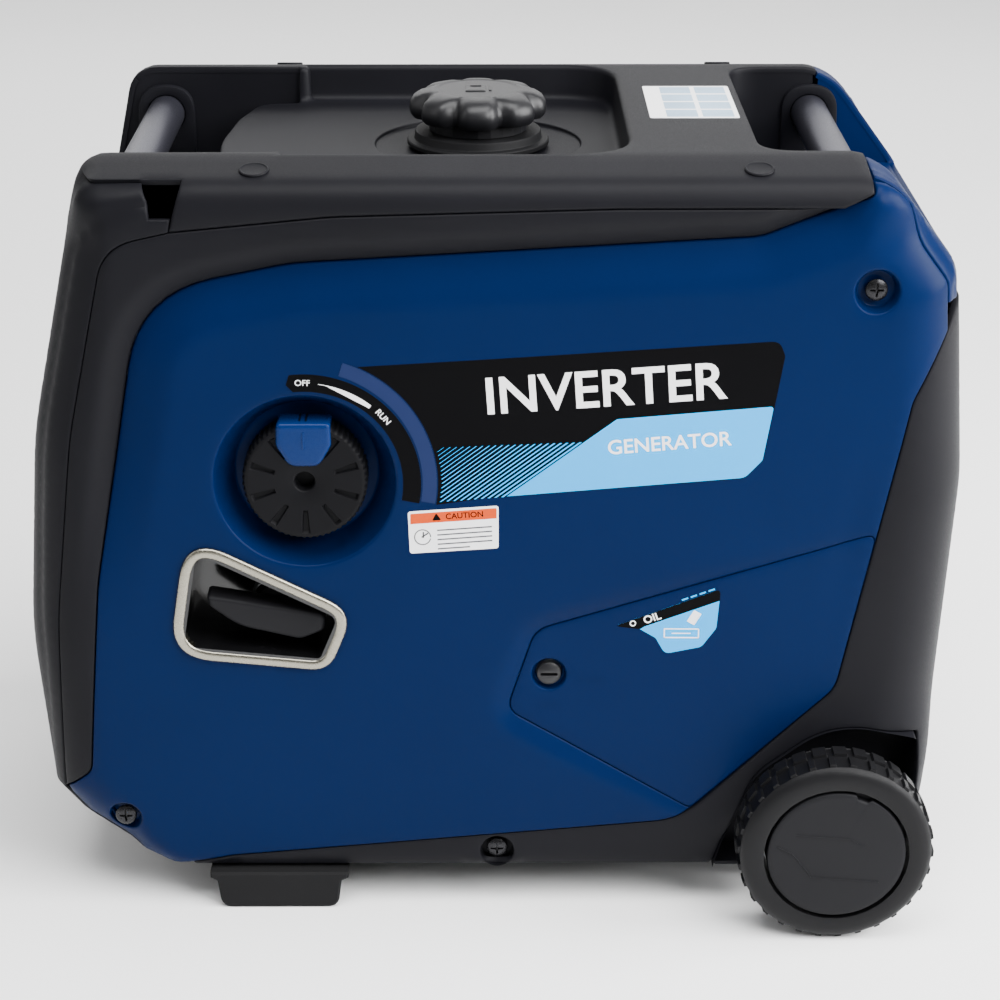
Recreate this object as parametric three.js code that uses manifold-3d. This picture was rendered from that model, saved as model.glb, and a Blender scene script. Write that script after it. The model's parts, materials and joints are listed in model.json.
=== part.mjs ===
// Wheeled inverter generator, closed frame, about 4 kW. Millimetres, +Z up.
// The origin is on the ground under the middle of the machine. +X points to the wheels, -X to the control
// panel, and -Y to the service side with the recoil starter, the engine switch and the oil cover.
import * as THREE from "three";
import { mergeVertices } from "three/addons/utils/BufferGeometryUtils.js";
import Module from "manifold-3d";

const wasm = await Module();
wasm.setup();

// ---------------------------------------------------------------- driving dimensions

const GAP = 0.3; // each piece stops this far short of a shared seam
const WALL = 4; // moulded covers
const RIB = 3.5; // walls inside the covers
const HALF_WIDTH = 170; // body, without the wheels
const FRONT_X = -296; // the bulge of the front cowl
const REAR_X = 295;
const FLOOR_Z = 26; // underside of the base shell
const RAIL_TOP_Z = 491.5;
const RAIL_INNER_Y = 127;
const RAIL_OUTER_Z = 482.5;
const DECK_Z = 468; // floor of the tank recess
const STEP_Z = 489; // raised part of the top cover
const WELL_Z = 424; // floor of the handle wells
const WELL_FRONT_X = -165;
const WELL_REAR_X = 163;
const STEP_X = 84;
const COVER_SEAM_Y = 154.5; // between a side panel and the rear cover
const COVER_SEAM_X = 226.5;
const REAR_COVER_Z = 406;
const COWL_FOOT_Z = 77;
const REACH = 400; // past the machine on every side
const BEYOND_X = 320;
const BEYOND_Z = 520;
const NEAR_SIDE = [-200, -100]; // y range of a tool that passes through the service side

const TUBE_R = 12.5;
const TUBE_WALL = 2;
const TUBE_Z = 460;
const TUBE_FRONT_X = -225;
const TUBE_REAR_X = 221;
const TUBE_HALF = 138;
const BOSS_R = 19.5;
const BOSS_Y = 118; // inner face of the handle bosses

const WHEEL_R = 62.5;
const WHEEL_X = 217;
const WHEEL_OUT_Y = 219;
const WHEEL_IN_Y = 184;
const RIM_R = 44;
const AXLE_R = 8;
const AXLE_HALF = 212;
const RUNNING = 0.3; // radial clearance of wheels and shafts
const ARCH_R = 65;
const ARCH_REAR_X = 271;
const ARCH_DEPTH_Y = 144; // inner wall of a wheel arch

const FILLER_X = -8.5;
const CAP_R = 44.5;
const CAP_TOP_Z = 504;

const DIAL_X = -115;
const DIAL_Z = 297;
const DIAL_R = 38.6;
const DIAL_RIM_R = 55.5;
const DIAL_FLOOR_R = 44;
const DIAL_FLOOR_Y = -146;

const CRANK_Z = 150;
const REEL_R = 56;
const ROPE_R = 2.5;
const ROPE_Z = CRANK_Z + REEL_R + ROPE_R + GAP;
const CUP_FLOOR_Y = -130;

const PANEL_X = -260; // back of the control panel
const PANEL_HALF = 127.5;
const PANEL_LOW_Z = 92.5;
const PANEL_HIGH_Z = 391.5;

// Side-view outlines are corner lists of [x, z, radius], shared by the pieces that meet along them.
const SKIRT_SEAM = [
  [300, 433, 0],
  [256, 348, 30],
  [218, 155, 26],
  [122, 61, 50],
  [-170, 35, 0],
  [-208, 27, 0],
];
const PANEL_SEAM = [
  [-276, 81, 0],
  [-258, 97, 12],
  [-246, 228, 200],
  [-212, 415, 75],
  [-120, 434, 150],
  [160, 450, 40],
  [208, 469, 0],
];
const COWL_SEAM = [
  [-278, 78, 0],
  [-273, 205, 300],
  [-258, 325, 300],
  [-231, 446, 35],
  [-191, 455, 0],
];
const RAIL_SEAM = [
  [-191, 455, 0],
  [-95, 464.5, 300],
  [75, 469, 0],
  [208, 469, 0],
];
const FRONT_CHAMFER = [
  [-208, 27, 0],
  [-221, 28, 8],
  [-262, 61, 0],
  [-276, 81, 8],
];
const OIL_DOOR = [
  [238.5, 262, 5],
  [27, 195, 18],
  [9, 139, 12],
  [128, 68, 5],
  [217.8, 155, 26],
];
const RECESS = [
  [-190, 263, 15],
  [-86, 210, 15],
  [-103, 169, 12],
  [-204, 179, 18],
];

// ---------------------------------------------------------------- helpers

const BLACK = [0x26262a, 0.62, 0.0];
const BLUE = [0x0d3b78, 0.5, 0.0];
const RUBBER = [0x1d1d1f, 0.85, 0.0];
const STEEL = [0x9c9ca2, 0.35, 0.9];
const CHROME = [0xd6d2c8, 0.15, 1.0];
const CAST = [0xa3a6a8, 0.55, 0.7];
const GREY = [0x55565c, 0.6, 0.1];

const machine = new THREE.Group();

// A geometry as a solid: shared vertices merged, and the triangles that collapse on an axis dropped.
function solid(geometry) {
  const bare = geometry.clone();
  bare.deleteAttribute("normal");
  bare.deleteAttribute("uv");
  const merged = mergeVertices(bare, 1e-4);
  const corners = merged.index.array;
  const kept = [];
  for (let i = 0; i < corners.length; i += 3) {
    const [a, b, c] = corners.subarray(i, i + 3);
    if (a !== b && b !== c && c !== a) kept.push(a, b, c);
  }
  return new wasm.Manifold(
    new wasm.Mesh({
      numProp: 3,
      vertProperties: merged.attributes.position.array,
      triVerts: new Uint32Array(kept),
    }),
  );
}

function join(first, ...others) {
  return others.reduce((sum, other) => sum.add(other), first);
}

function cut(body, ...tools) {
  return tools.reduce((rest, tool) => rest.subtract(tool), body);
}

function add(name, body, [color, roughness, metalness]) {
  const mesh = body.getMesh();
  const geometry = new THREE.BufferGeometry();
  geometry.setAttribute(
    "position",
    new THREE.BufferAttribute(new Float32Array(mesh.vertProperties), 3),
  );
  geometry.setIndex(new THREE.BufferAttribute(mesh.triVerts, 1));
  geometry.computeVertexNormals();
  const material = new THREE.MeshStandardMaterial({
    color,
    roughness,
    metalness,
  });
  const piece = new THREE.Mesh(geometry, material);
  piece.name = name;
  machine.add(piece);
}

// The corner list moved inwards by a distance. Corners run in either direction.
function inset(corners, distance) {
  const area = corners.reduce((sum, [x, y], i) => {
    const [nextX, nextY] = corners[(i + 1) % corners.length];
    return sum + x * nextY - nextX * y;
  }, 0);
  const side = Math.sign(area) * distance;
  const normal = ([ax, ay], [bx, by]) => {
    const length = Math.hypot(bx - ax, by - ay);
    return [(ay - by) / length, (bx - ax) / length];
  };
  return corners.map((corner, i) => {
    const before = corners[(i + corners.length - 1) % corners.length];
    const after = corners[(i + 1) % corners.length];
    const [ux, uy] = normal(before, corner);
    const [vx, vy] = normal(corner, after);
    const scale = side / (1 + ux * vx + uy * vy);
    const convex = (ux * vy - uy * vx) * area > 0;
    const radius = corner[2] && Math.max(corner[2] + (convex ? -distance : distance), 0);
    return [corner[0] + (ux + vx) * scale, corner[1] + (uy + vy) * scale, radius];
  });
}

// A closed THREE.Shape through a corner list, each corner rounded by its radius.
function rounded(corners) {
  const shape = new THREE.Shape();
  corners.forEach(([x, y, radius], i) => {
    const before = corners[(i + corners.length - 1) % corners.length];
    const after = corners[(i + 1) % corners.length];
    const corner = new THREE.Vector2(x, y);
    const back = new THREE.Vector2(before[0] - x, before[1] - y);
    const ahead = new THREE.Vector2(after[0] - x, after[1] - y);
    const reach = Math.min(back.length(), ahead.length());
    back.normalize();
    ahead.normalize();
    const half = Math.acos(THREE.MathUtils.clamp(back.dot(ahead), -1, 1)) / 2;
    const run = Math.min(radius / Math.tan(half), reach / 2);
    const start = corner.clone().addScaledVector(back, run);
    const end = corner.clone().addScaledVector(ahead, run);
    if (i === 0) shape.moveTo(start.x, start.y);
    else shape.lineTo(start.x, start.y);
    if (run > 0.05) shape.quadraticCurveTo(x, y, end.x, end.y);
  });
  shape.closePath();
  return shape;
}

const ARC_STEPS = 4;

function extruded(shape, depth) {
  return new THREE.ExtrudeGeometry(shape, {
    depth,
    bevelEnabled: false,
    curveSegments: ARC_STEPS,
  });
}

// Prisms of a corner list: seen from the side, from above, and from the end.
function sidePrism(corners, lowY, highY) {
  const geometry = extruded(rounded(corners), highY - lowY);
  return solid(geometry.rotateX(Math.PI / 2).translate(0, highY, 0));
}

function planPrism(corners, lowZ, highZ) {
  return solid(extruded(rounded(corners), highZ - lowZ).translate(0, 0, lowZ));
}

function endPrism(corners, lowX, highX) {
  const geometry = extruded(rounded(corners), highX - lowX);
  const turn = new THREE.Matrix4().set(0, 0, 1, 0, 1, 0, 0, 0, 0, 1, 0, 0, 0, 0, 0, 1);
  return solid(geometry.applyMatrix4(turn).translate(lowX, 0, 0));
}

function rectangle(lowA, highA, lowB, highB, radius = 0) {
  return [
    [lowA, lowB, radius],
    [highA, lowB, radius],
    [highA, highB, radius],
    [lowA, highB, radius],
  ];
}

function box(lowX, highX, lowY, highY, lowZ, highZ) {
  const geometry = new THREE.BoxGeometry(highX - lowX, highY - lowY, highZ - lowZ);
  geometry.translate((lowX + highX) / 2, (lowY + highY) / 2, (lowZ + highZ) / 2);
  return solid(geometry);
}

const AXES = {
  x: (geometry) => geometry.rotateZ(-Math.PI / 2),
  y: (geometry) => geometry,
  z: (geometry) => geometry.rotateX(Math.PI / 2),
};

// A round bar along one axis from low to high, centred on the other two coordinates.
function bar(axis, low, high, centre, radius, sides = 32) {
  const geometry = new THREE.CylinderGeometry(radius, radius, high - low, sides);
  const middle = (low + high) / 2;
  const [a, b] = centre;
  const place = { x: [middle, a, b], y: [a, middle, b], z: [a, b, middle] }[axis];
  return solid(AXES[axis](geometry).translate(...place));
}

// A turned body: a closed profile of [radius, height] along the axis, whose heights are coordinates.
function turned(axis, profile, centre, sides = 32) {
  const points = profile.map(([radius, height]) => new THREE.Vector2(radius, height));
  if (THREE.ShapeUtils.area(points) < 0) points.reverse();
  const [a, b] = centre;
  const place = { x: [0, a, b], y: [a, 0, b], z: [a, b, 0] }[axis];
  const geometry = new THREE.LatheGeometry([...points, points[0]], sides);
  return solid(AXES[axis](geometry).translate(...place));
}

function mirrored(body) {
  return body.mirror([0, 1, 0]);
}

// ---------------------------------------------------------------- the outer form

const SIDE_PROFILE = [
  [-205, FLOOR_Z, 20],
  [-221, FLOOR_Z + 2, 8],
  [-262, 60, 0],
  [-287, 77, 6],
  [-295.5, 185, 300],
  [-285, 318, 300],
  [-252, 470, 60],
  [-246.5, RAIL_TOP_Z, 17],
  [234, RAIL_TOP_Z, 16],
  [285, 424, 24],
  [REAR_X, 288, 200],
  [285, 105, 200],
  [277, FLOOR_Z, 14],
];
const SECTION = [
  [-HALF_WIDTH, FLOOR_Z - 6, 0],
  [HALF_WIDTH, FLOOR_Z - 6, 0],
  [HALF_WIDTH, RAIL_OUTER_Z, 18],
  [RAIL_INNER_Y, RAIL_TOP_Z, 0],
  [-RAIL_INNER_Y, RAIL_TOP_Z, 0],
  [-HALF_WIDTH, RAIL_OUTER_Z, 18],
];
const PLAN = [
  [FRONT_X, -HALF_WIDTH, 44],
  [REAR_X + 1, -HALF_WIDTH, 50],
  [REAR_X + 1, HALF_WIDTH, 50],
  [FRONT_X, HALF_WIDTH, 44],
];

function form(thickness) {
  const side = sidePrism(inset(SIDE_PROFILE, thickness), -REACH, REACH);
  const section = endPrism(inset(SECTION, thickness), -REACH, REACH);
  const plan = planPrism(inset(PLAN, thickness), 0, 2 * REACH);
  return side.intersect(section).intersect(plan);
}

const outer = form(0);
const inner = form(WALL);
const shell = outer.subtract(inner);

function region(corners, lowY = -REACH, highY = REACH) {
  return sidePrism(inset(corners, GAP), lowY, highY);
}

const reversed = (corners) => [...corners].reverse();
const wellFront = box(-REACH, WELL_FRONT_X, -BOSS_Y, BOSS_Y, WELL_Z, 2 * REACH);
const wellRear = box(WELL_REAR_X, REACH, -BOSS_Y, BOSS_Y, WELL_Z, 2 * REACH);

// ---------------------------------------------------------------- base, feet, wheels

function archOutline(grow) {
  const radius = ARCH_R + grow;
  const shape = new THREE.Shape();
  shape.moveTo(138 - grow, FLOOR_Z - 10);
  shape.lineTo(WHEEL_X - radius, 58);
  shape.absarc(WHEEL_X, 58, radius, Math.PI, THREE.MathUtils.degToRad(80), true);
  shape.lineTo(ARCH_REAR_X + grow, 118 + grow);
  shape.lineTo(ARCH_REAR_X + grow, FLOOR_Z - 10);
  shape.closePath();
  return shape;
}

function archPrism(grow, lowY, highY) {
  const geometry = new THREE.ExtrudeGeometry(archOutline(grow), {
    depth: highY - lowY,
    bevelEnabled: false,
    curveSegments: 14,
  });
  return solid(geometry.rotateX(Math.PI / 2).translate(0, highY, 0));
}

const SCREW_R = 8;
const SCREW_DEPTH = 9;
// Each screw's x and z on the service side, and the radius of the counterbore round it.
const SCREWS = {
  screw_rear: [230, 418, 14.3],
  screw_front: [-238, 63, 11.2],
  screw_base: [3, 38, 10.8],
};

// A round counterbore with a floor, sunk into the -Y side.
function screwWell([x, z, radius]) {
  const cup = bar("y", -HALF_WIDTH + 0.5, -HALF_WIDTH + SCREW_DEPTH + 3, [x, z], radius + 2.5, 18);
  const hollow = bar("y", -HALF_WIDTH - 5, -HALF_WIDTH + SCREW_DEPTH, [x, z], radius, 18);
  return { cup: cup.intersect(outer), hollow };
}

function baseShell() {
  const sides = region([...SKIRT_SEAM, [-208, 0, 0], [300, 0, 0]]);
  const chin = sidePrism(
    [[-204, 0, 0], [-204, 40, 0], [-262, 76, 0], [-300, 76, 0], [-300, 0, 0]],
    -COVER_SEAM_Y + 2 * GAP,
    COVER_SEAM_Y - 2 * GAP,
  );
  let body = shell.intersect(join(sides, chin));
  const well = screwWell(SCREWS.screw_base);
  const liners = [];
  const pockets = [];
  for (const side of [-1, 1]) {
    const wall = [ARCH_DEPTH_Y - WALL, HALF_WIDTH];
    const [low, high] = side < 0 ? [-wall[1], -wall[0]] : wall;
    const [cutLow, cutHigh] = side < 0 ? [-REACH, -ARCH_DEPTH_Y] : [ARCH_DEPTH_Y, REACH];
    liners.push(archPrism(WALL, low, high).intersect(outer));
    pockets.push(archPrism(0, cutLow, cutHigh));
  }
  const inside = join(well.cup, ...liners).intersect(sides);
  body = cut(join(body, inside), ...pockets, well.hollow);
  const window = endPrism(rectangle(-118, 118, 135, 372, 14), 250, BEYOND_X);
  const bearing = bar("y", -REACH, REACH, [WHEEL_X, WHEEL_R], AXLE_R + RUNNING, 24);
  return cut(body, window, bearing);
}

add("base_shell", baseShell(), BLACK);

function exhaustGrille() {
  const plate = endPrism(rectangle(-117.5, 117.5, 135.5, 371.5, 13), 276, 280);
  const slots = [];
  for (let z = 152; z < 350; z += 28) {
    slots.push(box(270, 290, -104, -6, z, z + 14));
    slots.push(box(270, 290, 6, 104, z, z + 14));
  }
  const outlet = bar("x", 270, 290, [60, 300], 24, 20);
  const collar = turned("x", [[24, 274], [30, 274], [30, 284], [24, 284]], [60, 300], 20);
  return join(cut(plate, ...slots, outlet), collar);
}

add("exhaust_grille", exhaustGrille(), BLACK);

const FOOT = [
  [-184, FLOOR_Z - GAP, 0],
  [-94, FLOOR_Z - GAP, 0],
  [-99, 0, 5],
  [-179, 0, 5],
];
add("foot_near", sidePrism(FOOT, -176, -112), RUBBER);
add("foot_far", sidePrism(FOOT, 112, 176), RUBBER);

function tyre() {
  const shoulder = 9;
  const profile = [
    [RIM_R + GAP, -WHEEL_OUT_Y + 2],
    [WHEEL_R - shoulder, -WHEEL_OUT_Y],
    [WHEEL_R - 3, -WHEEL_OUT_Y + 3],
    [WHEEL_R, -WHEEL_OUT_Y + shoulder],
    [WHEEL_R, -WHEEL_IN_Y - shoulder],
    [WHEEL_R - 3, -WHEEL_IN_Y - 3],
    [WHEEL_R - shoulder, -WHEEL_IN_Y],
    [RIM_R + GAP, -WHEEL_IN_Y - 2],
  ];
  return turned("y", profile, [WHEEL_X, WHEEL_R], 32);
}

function hub() {
  const bore = AXLE_R + RUNNING;
  const profile = [
    [bore, -WHEEL_OUT_Y + 12],
    [RIM_R - 8, -WHEEL_OUT_Y + 12],
    [RIM_R - 4, -WHEEL_OUT_Y + 3.5],
    [RIM_R, -WHEEL_OUT_Y + 3.5],
    [RIM_R, -WHEEL_IN_Y - 2.5],
    [RIM_R - 4, -WHEEL_IN_Y - 2.5],
    [20, -WHEEL_IN_Y - 12],
    [16, -WHEEL_IN_Y + 8],
    [bore, -WHEEL_IN_Y + 8],
  ];
  return turned("y", profile, [WHEEL_X, WHEEL_R], 24);
}

function hubCap() {
  const face = -WHEEL_OUT_Y + 0.6;
  const profile = [
    [0, face],
    [41, face],
    [43.3, face + 1],
    [43.3, face + 2.6],
    [0, face + 2.6],
  ];
  const slot = box(WHEEL_X + 9, WHEEL_X + 19, face - 1, face + 1.4, WHEEL_R + 34, WHEEL_R + 36);
  return cut(turned("y", profile, [WHEEL_X, WHEEL_R], 36), slot);
}

add("wheel_tyre_near", tyre(), RUBBER);
add("wheel_tyre_far", mirrored(tyre()), RUBBER);
add("wheel_hub_near", hub(), GREY);
add("wheel_hub_far", mirrored(hub()), GREY);
add("hub_cap_near", hubCap(), BLACK);
add("hub_cap_far", mirrored(hubCap()), BLACK);
add("axle", bar("y", -AXLE_HALF + 3, AXLE_HALF - 3, [WHEEL_X, WHEEL_R], AXLE_R, 24), STEEL);

// ---------------------------------------------------------------- side panels and trims

const PANEL_OUTLINE = [
  ...PANEL_SEAM,
  [COVER_SEAM_X, 478, 5],
  [COVER_SEAM_X, BEYOND_Z, 0],
  [BEYOND_X, BEYOND_Z, 0],
  [BEYOND_X, 433, 0],
  ...SKIRT_SEAM.slice(0, -1),
  ...FRONT_CHAMFER.slice(0, -1),
];

// The moulded funnel round the engine switch.
function dialFunnel() {
  const wall = 3;
  const face = -HALF_WIDTH + 0.6;
  const profile = [
    [8.4, DIAL_FLOOR_Y],
    [DIAL_FLOOR_R, DIAL_FLOOR_Y],
    [DIAL_RIM_R, face],
    [DIAL_RIM_R + wall, face],
    [DIAL_FLOOR_R + wall, DIAL_FLOOR_Y + wall],
    [8.4, DIAL_FLOOR_Y + wall],
  ];
  return turned("y", profile, [DIAL_X, DIAL_Z], 36);
}

function plainSidePanel() {
  return shell.intersect(region(PANEL_OUTLINE, -REACH, -COVER_SEAM_Y));
}

function sidePanelNear() {
  const wells = [SCREWS.screw_rear, SCREWS.screw_front].map(screwWell);
  let body = cut(
    plainSidePanel(),
    bar("y", ...NEAR_SIDE, [DIAL_X, DIAL_Z], DIAL_RIM_R, 36),
    sidePrism(inset(RECESS, 2.5), ...NEAR_SIDE),
  );
  body = join(body, dialFunnel(), ...wells.map((well) => well.cup));
  const door = sidePrism(OIL_DOOR, -REACH, -HALF_WIDTH + 2.2);
  const hand = sidePrism(inset(OIL_DOOR, 9), ...NEAR_SIDE);
  return cut(body, ...wells.map((well) => well.hollow), door, hand);
}

function sidePanelFar() {
  const slots = [];
  for (let x = -120; x <= 20; x += 28) {
    slots.push(sidePrism(rectangle(x, x + 12, 160, 300), 100, 200));
  }
  return cut(mirrored(plainSidePanel()), ...slots);
}

add("side_panel_near", sidePanelNear(), BLUE);
add("side_panel_far", sidePanelFar(), BLUE);

const LOCK_X = 36;
const LOCK_Z = 164;
const LOCK_R = 8;

function oilCover() {
  const skin = sidePrism(inset(OIL_DOOR, GAP), -HALF_WIDTH, -HALF_WIDTH + 1.9);
  const lockHole = bar("y", ...NEAR_SIDE, [LOCK_X, LOCK_Z], LOCK_R + GAP, 24);
  return cut(skin, lockHole);
}

function oilCoverLock() {
  const head = bar("y", -HALF_WIDTH + 0.2, -HALF_WIDTH + 6, [LOCK_X, LOCK_Z], LOCK_R, 24);
  const slot = box(LOCK_X - 1, LOCK_X + 1, -HALF_WIDTH - 1, -HALF_WIDTH + 2.2, LOCK_Z - 7, LOCK_Z + 7);
  const tang = box(LOCK_X - 4, LOCK_X + 4, -HALF_WIDTH + 5.5, -HALF_WIDTH + 8, LOCK_Z - 6, LOCK_Z + 6);
  return join(cut(head, slot), tang);
}

add("oil_cover", oilCover(), BLUE);
add("oil_cover_lock", oilCoverLock(), BLACK);

function archTrim() {
  const outline = [
    ...COWL_SEAM.slice(0, -1),
    ...RAIL_SEAM,
    ...reversed(PANEL_SEAM.slice(0, -1)),
  ];
  return shell.intersect(region(outline, -REACH, -COVER_SEAM_Y));
}

add("arch_trim_near", archTrim(), BLACK);
add("arch_trim_far", mirrored(archTrim()), BLACK);

function screw([x, z]) {
  const low = -HALF_WIDTH + 3;
  const head = bar("y", low, -HALF_WIDTH + SCREW_DEPTH - GAP, [x, z], SCREW_R, 16);
  const socket = bar("y", low - 1, low + 3, [x, z], 4, 6);
  return cut(head, socket);
}

Object.entries(SCREWS).forEach(([name, at]) => add(name, screw(at), STEEL));

// ---------------------------------------------------------------- front cowl and control panel

function frontCowl() {
  const outline = [
    ...COWL_SEAM,
    [-189.5, 463, 0],
    [-202, 463, 0],
    [-203, 474, 4],
    [-206.5, 484.5, 0],
    [-BEYOND_X, 484.5, 0],
    [-BEYOND_X, COWL_FOOT_Z, 0],
    [-278, COWL_FOOT_Z, 0],
  ];
  const ringOuter = endPrism(rectangle(-132, 132, 88, 396, 16), -BEYOND_X, PANEL_X + 1).intersect(outer);
  const window = endPrism(rectangle(-128, 128, 92, 392, 12), -BEYOND_X, PANEL_X + 2);
  const body = join(shell.intersect(region(outline)), ringOuter.intersect(region(outline)));
  return cut(body, window, wellFront);
}

add("front_cowl", frontCowl(), BLACK);

const OUTLET_Y = 62;
const START = [-70, 352];
const BREAKER = [60, 218];
const ROCKER = [-70, 270];

function controlPanel() {
  const plate = endPrism(
    rectangle(-PANEL_HALF, PANEL_HALF, PANEL_LOW_Z, PANEL_HIGH_Z, 11),
    PANEL_X - 3,
    PANEL_X,
  );
  return cut(
    plate,
    bar("x", -300, -200, START, 11 + 2 * GAP, 24),
    bar("x", -300, -200, BREAKER, 6 + 2 * GAP, 24),
    box(-300, -200, ROCKER[0] - 8, ROCKER[0] + 8, ROCKER[1] - 13, ROCKER[1] + 13),
  );
}

const FACE_X = PANEL_X - 3 - GAP;

// An outlet block that stands on the panel's face, with the slots of its sockets.
function outletDuplex() {
  const plate = endPrism(rectangle(OUTLET_Y - 36, OUTLET_Y + 36, 250, 370, 6), FACE_X - 8, FACE_X);
  const slots = [];
  for (const z of [282, 338]) {
    slots.push(box(FACE_X - 9, FACE_X - 3, OUTLET_Y - 8, OUTLET_Y - 5.5, z - 5, z + 6));
    slots.push(box(FACE_X - 9, FACE_X - 3, OUTLET_Y + 5.5, OUTLET_Y + 8, z - 5, z + 6));
    slots.push(bar("x", FACE_X - 9, FACE_X - 3, [OUTLET_Y, z - 12], 3, 16));
  }
  return cut(plate, ...slots);
}

function outletDc() {
  const plate = endPrism(rectangle(-100, -36, 118, 168, 6), FACE_X - 6, FACE_X);
  const port = box(FACE_X - 7, FACE_X - 2, -60, -44, 132, 140);
  const round = bar("x", FACE_X - 7, FACE_X - 2, [-82, 143], 11, 24);
  return cut(plate, port, round);
}

add("control_panel", controlPanel(), BLACK);
add("outlet_duplex", outletDuplex(), BLACK);
add("outlet_dc", outletDc(), BLACK);
add("display", endPrism(rectangle(-105, -35, 186, 230, 5), FACE_X - 5, FACE_X), GREY);
add("start_button", bar("x", FACE_X - 7, PANEL_X + 4, START, 11, 24), RUBBER);
add("breaker_button", bar("x", FACE_X - 5, PANEL_X + 4, BREAKER, 6, 24), RUBBER);

function economySwitch() {
  const rocker = [
    [FACE_X - 5, ROCKER[1] - 12, 1],
    [FACE_X - 3, ROCKER[1], 0],
    [FACE_X - 5, ROCKER[1] + 12, 1],
    [PANEL_X + 2, ROCKER[1] + 9, 1],
    [PANEL_X + 2, ROCKER[1] - 9, 1],
  ];
  return sidePrism(rocker, ROCKER[0] - 7, ROCKER[0] + 7);
}

add("economy_switch", economySwitch(), BLACK);

function groundTerminal() {
  const base = bar("x", FACE_X - 4, FACE_X, [90, 135], 9, 6);
  const stud = bar("x", FACE_X - 16, FACE_X - 3.5, [90, 135], 4, 20);
  return join(base, stud);
}

add("ground_terminal", groundTerminal(), STEEL);

// ---------------------------------------------------------------- top cover, handles, rear cover

const TOP_OUTLINE = [
  [-BEYOND_X, 485, 0],
  [-185, 485, 0],
  ...RAIL_SEAM,
  [COVER_SEAM_X - 1, 478, 5],
  [COVER_SEAM_X - 1, BEYOND_Z, 0],
  [-BEYOND_X, BEYOND_Z, 0],
];

// The wall on the inner side of a rail and the inverted-U boss that holds a handle tube.
function railInside() {
  const wallOutline = [
    [-BEYOND_X, WELL_Z + GAP, 0],
    [COVER_SEAM_X - 1, WELL_Z + GAP, 0],
    [COVER_SEAM_X - 1, BEYOND_Z, 0],
    [-BEYOND_X, BEYOND_Z, 0],
  ];
  const wall = sidePrism(wallOutline, -RAIL_INNER_Y, -RAIL_INNER_Y + WALL).intersect(inner);
  const ribs = [TUBE_FRONT_X, TUBE_REAR_X].map((x) => {
    const foot = Math.min(x + BOSS_R, COVER_SEAM_X - 1);
    const legs = box(x - BOSS_R, foot, -RAIL_INNER_Y + WALL - 1, -BOSS_Y, WELL_Z + GAP, TUBE_Z);
    const top = bar("y", -RAIL_INNER_Y + WALL - 1, -BOSS_Y, [x, TUBE_Z], BOSS_R, 32);
    const reach = box(-REACH, COVER_SEAM_X - 1, -REACH, 0, 0, 2 * REACH);
    return join(legs, top).intersect(inner).intersect(reach);
  });
  return join(wall, ...ribs);
}

function topCover() {
  const rails = shell.intersect(region(TOP_OUTLINE));
  const between = RAIL_INNER_Y - WALL;
  const hollow = box(-REACH, REACH, -between, between, WELL_Z, 2 * REACH);
  const reach = between + WALL / 2;
  const deck = box(WELL_FRONT_X, STEP_X, -reach, reach, DECK_Z - WALL, DECK_Z);
  const riser = box(STEP_X - WALL, STEP_X, -reach, reach, DECK_Z - WALL, STEP_Z);
  const shelf = box(STEP_X - WALL, WELL_REAR_X, -reach, reach, STEP_Z - WALL, STEP_Z);
  const frontWall = box(WELL_FRONT_X, WELL_FRONT_X + WALL, -reach, reach, WELL_Z - WALL, DECK_Z);
  const rearWall = box(WELL_REAR_X - WALL, WELL_REAR_X, -reach, reach, WELL_Z - WALL, STEP_Z);
  const frontFloor = box(-262, WELL_FRONT_X + WALL, -reach, reach, WELL_Z - WALL, WELL_Z);
  const rearFloor = box(WELL_REAR_X - WALL, COVER_SEAM_X - 1, -reach, reach, WELL_Z - WALL, WELL_Z);
  const floors = join(frontFloor, rearFloor).intersect(inner);
  const inside = railInside();
  let body = cut(rails, hollow);
  body = join(body, inside, mirrored(inside), deck, riser, shelf, frontWall, rearWall, floors);
  const neck = bar("z", 400, 520, [FILLER_X, 0], 31);
  const tubes = [TUBE_FRONT_X, TUBE_REAR_X].map((x) =>
    bar("y", -TUBE_HALF - 2, TUBE_HALF + 2, [x, TUBE_Z], TUBE_R + GAP, 24),
  );
  return cut(body, neck, ...tubes);
}

add("top_cover", topCover(), BLACK);

function handleTube(x) {
  const skin = bar("y", -TUBE_HALF, TUBE_HALF, [x, TUBE_Z], TUBE_R, 24);
  return cut(skin, bar("y", -TUBE_HALF - 1, TUBE_HALF + 1, [x, TUBE_Z], TUBE_R - TUBE_WALL, 24));
}

add("handle_tube_front", handleTube(TUBE_FRONT_X), STEEL);
add("handle_tube_rear", handleTube(TUBE_REAR_X), STEEL);

const PLUG_R = 9;
const PLUG_Y = 148;
const PLUG_XS = { front: -141, rear: 159 };

const RAIL_SLOPE = (RAIL_TOP_Z - RAIL_OUTER_Z) / (HALF_WIDTH - RAIL_INNER_Y);
const PLUG_HEIGHT = 1.4;

function railPlug(x, y) {
  const top = RAIL_TOP_Z - (Math.abs(y) - RAIL_INNER_Y) * RAIL_SLOPE;
  const tilt = Math.atan(RAIL_SLOPE) * Math.sign(-y);
  const disc = new THREE.CylinderGeometry(PLUG_R - 1, PLUG_R, PLUG_HEIGHT, 16);
  disc.rotateX(Math.PI / 2 + tilt).translate(x, y, top + PLUG_HEIGHT / 2 + GAP);
  return solid(disc);
}

for (const [end, x] of Object.entries(PLUG_XS)) {
  add(`rail_plug_near_${end}`, railPlug(x, -PLUG_Y), BLACK);
  add(`rail_plug_far_${end}`, railPlug(x, PLUG_Y), BLACK);
}

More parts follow.
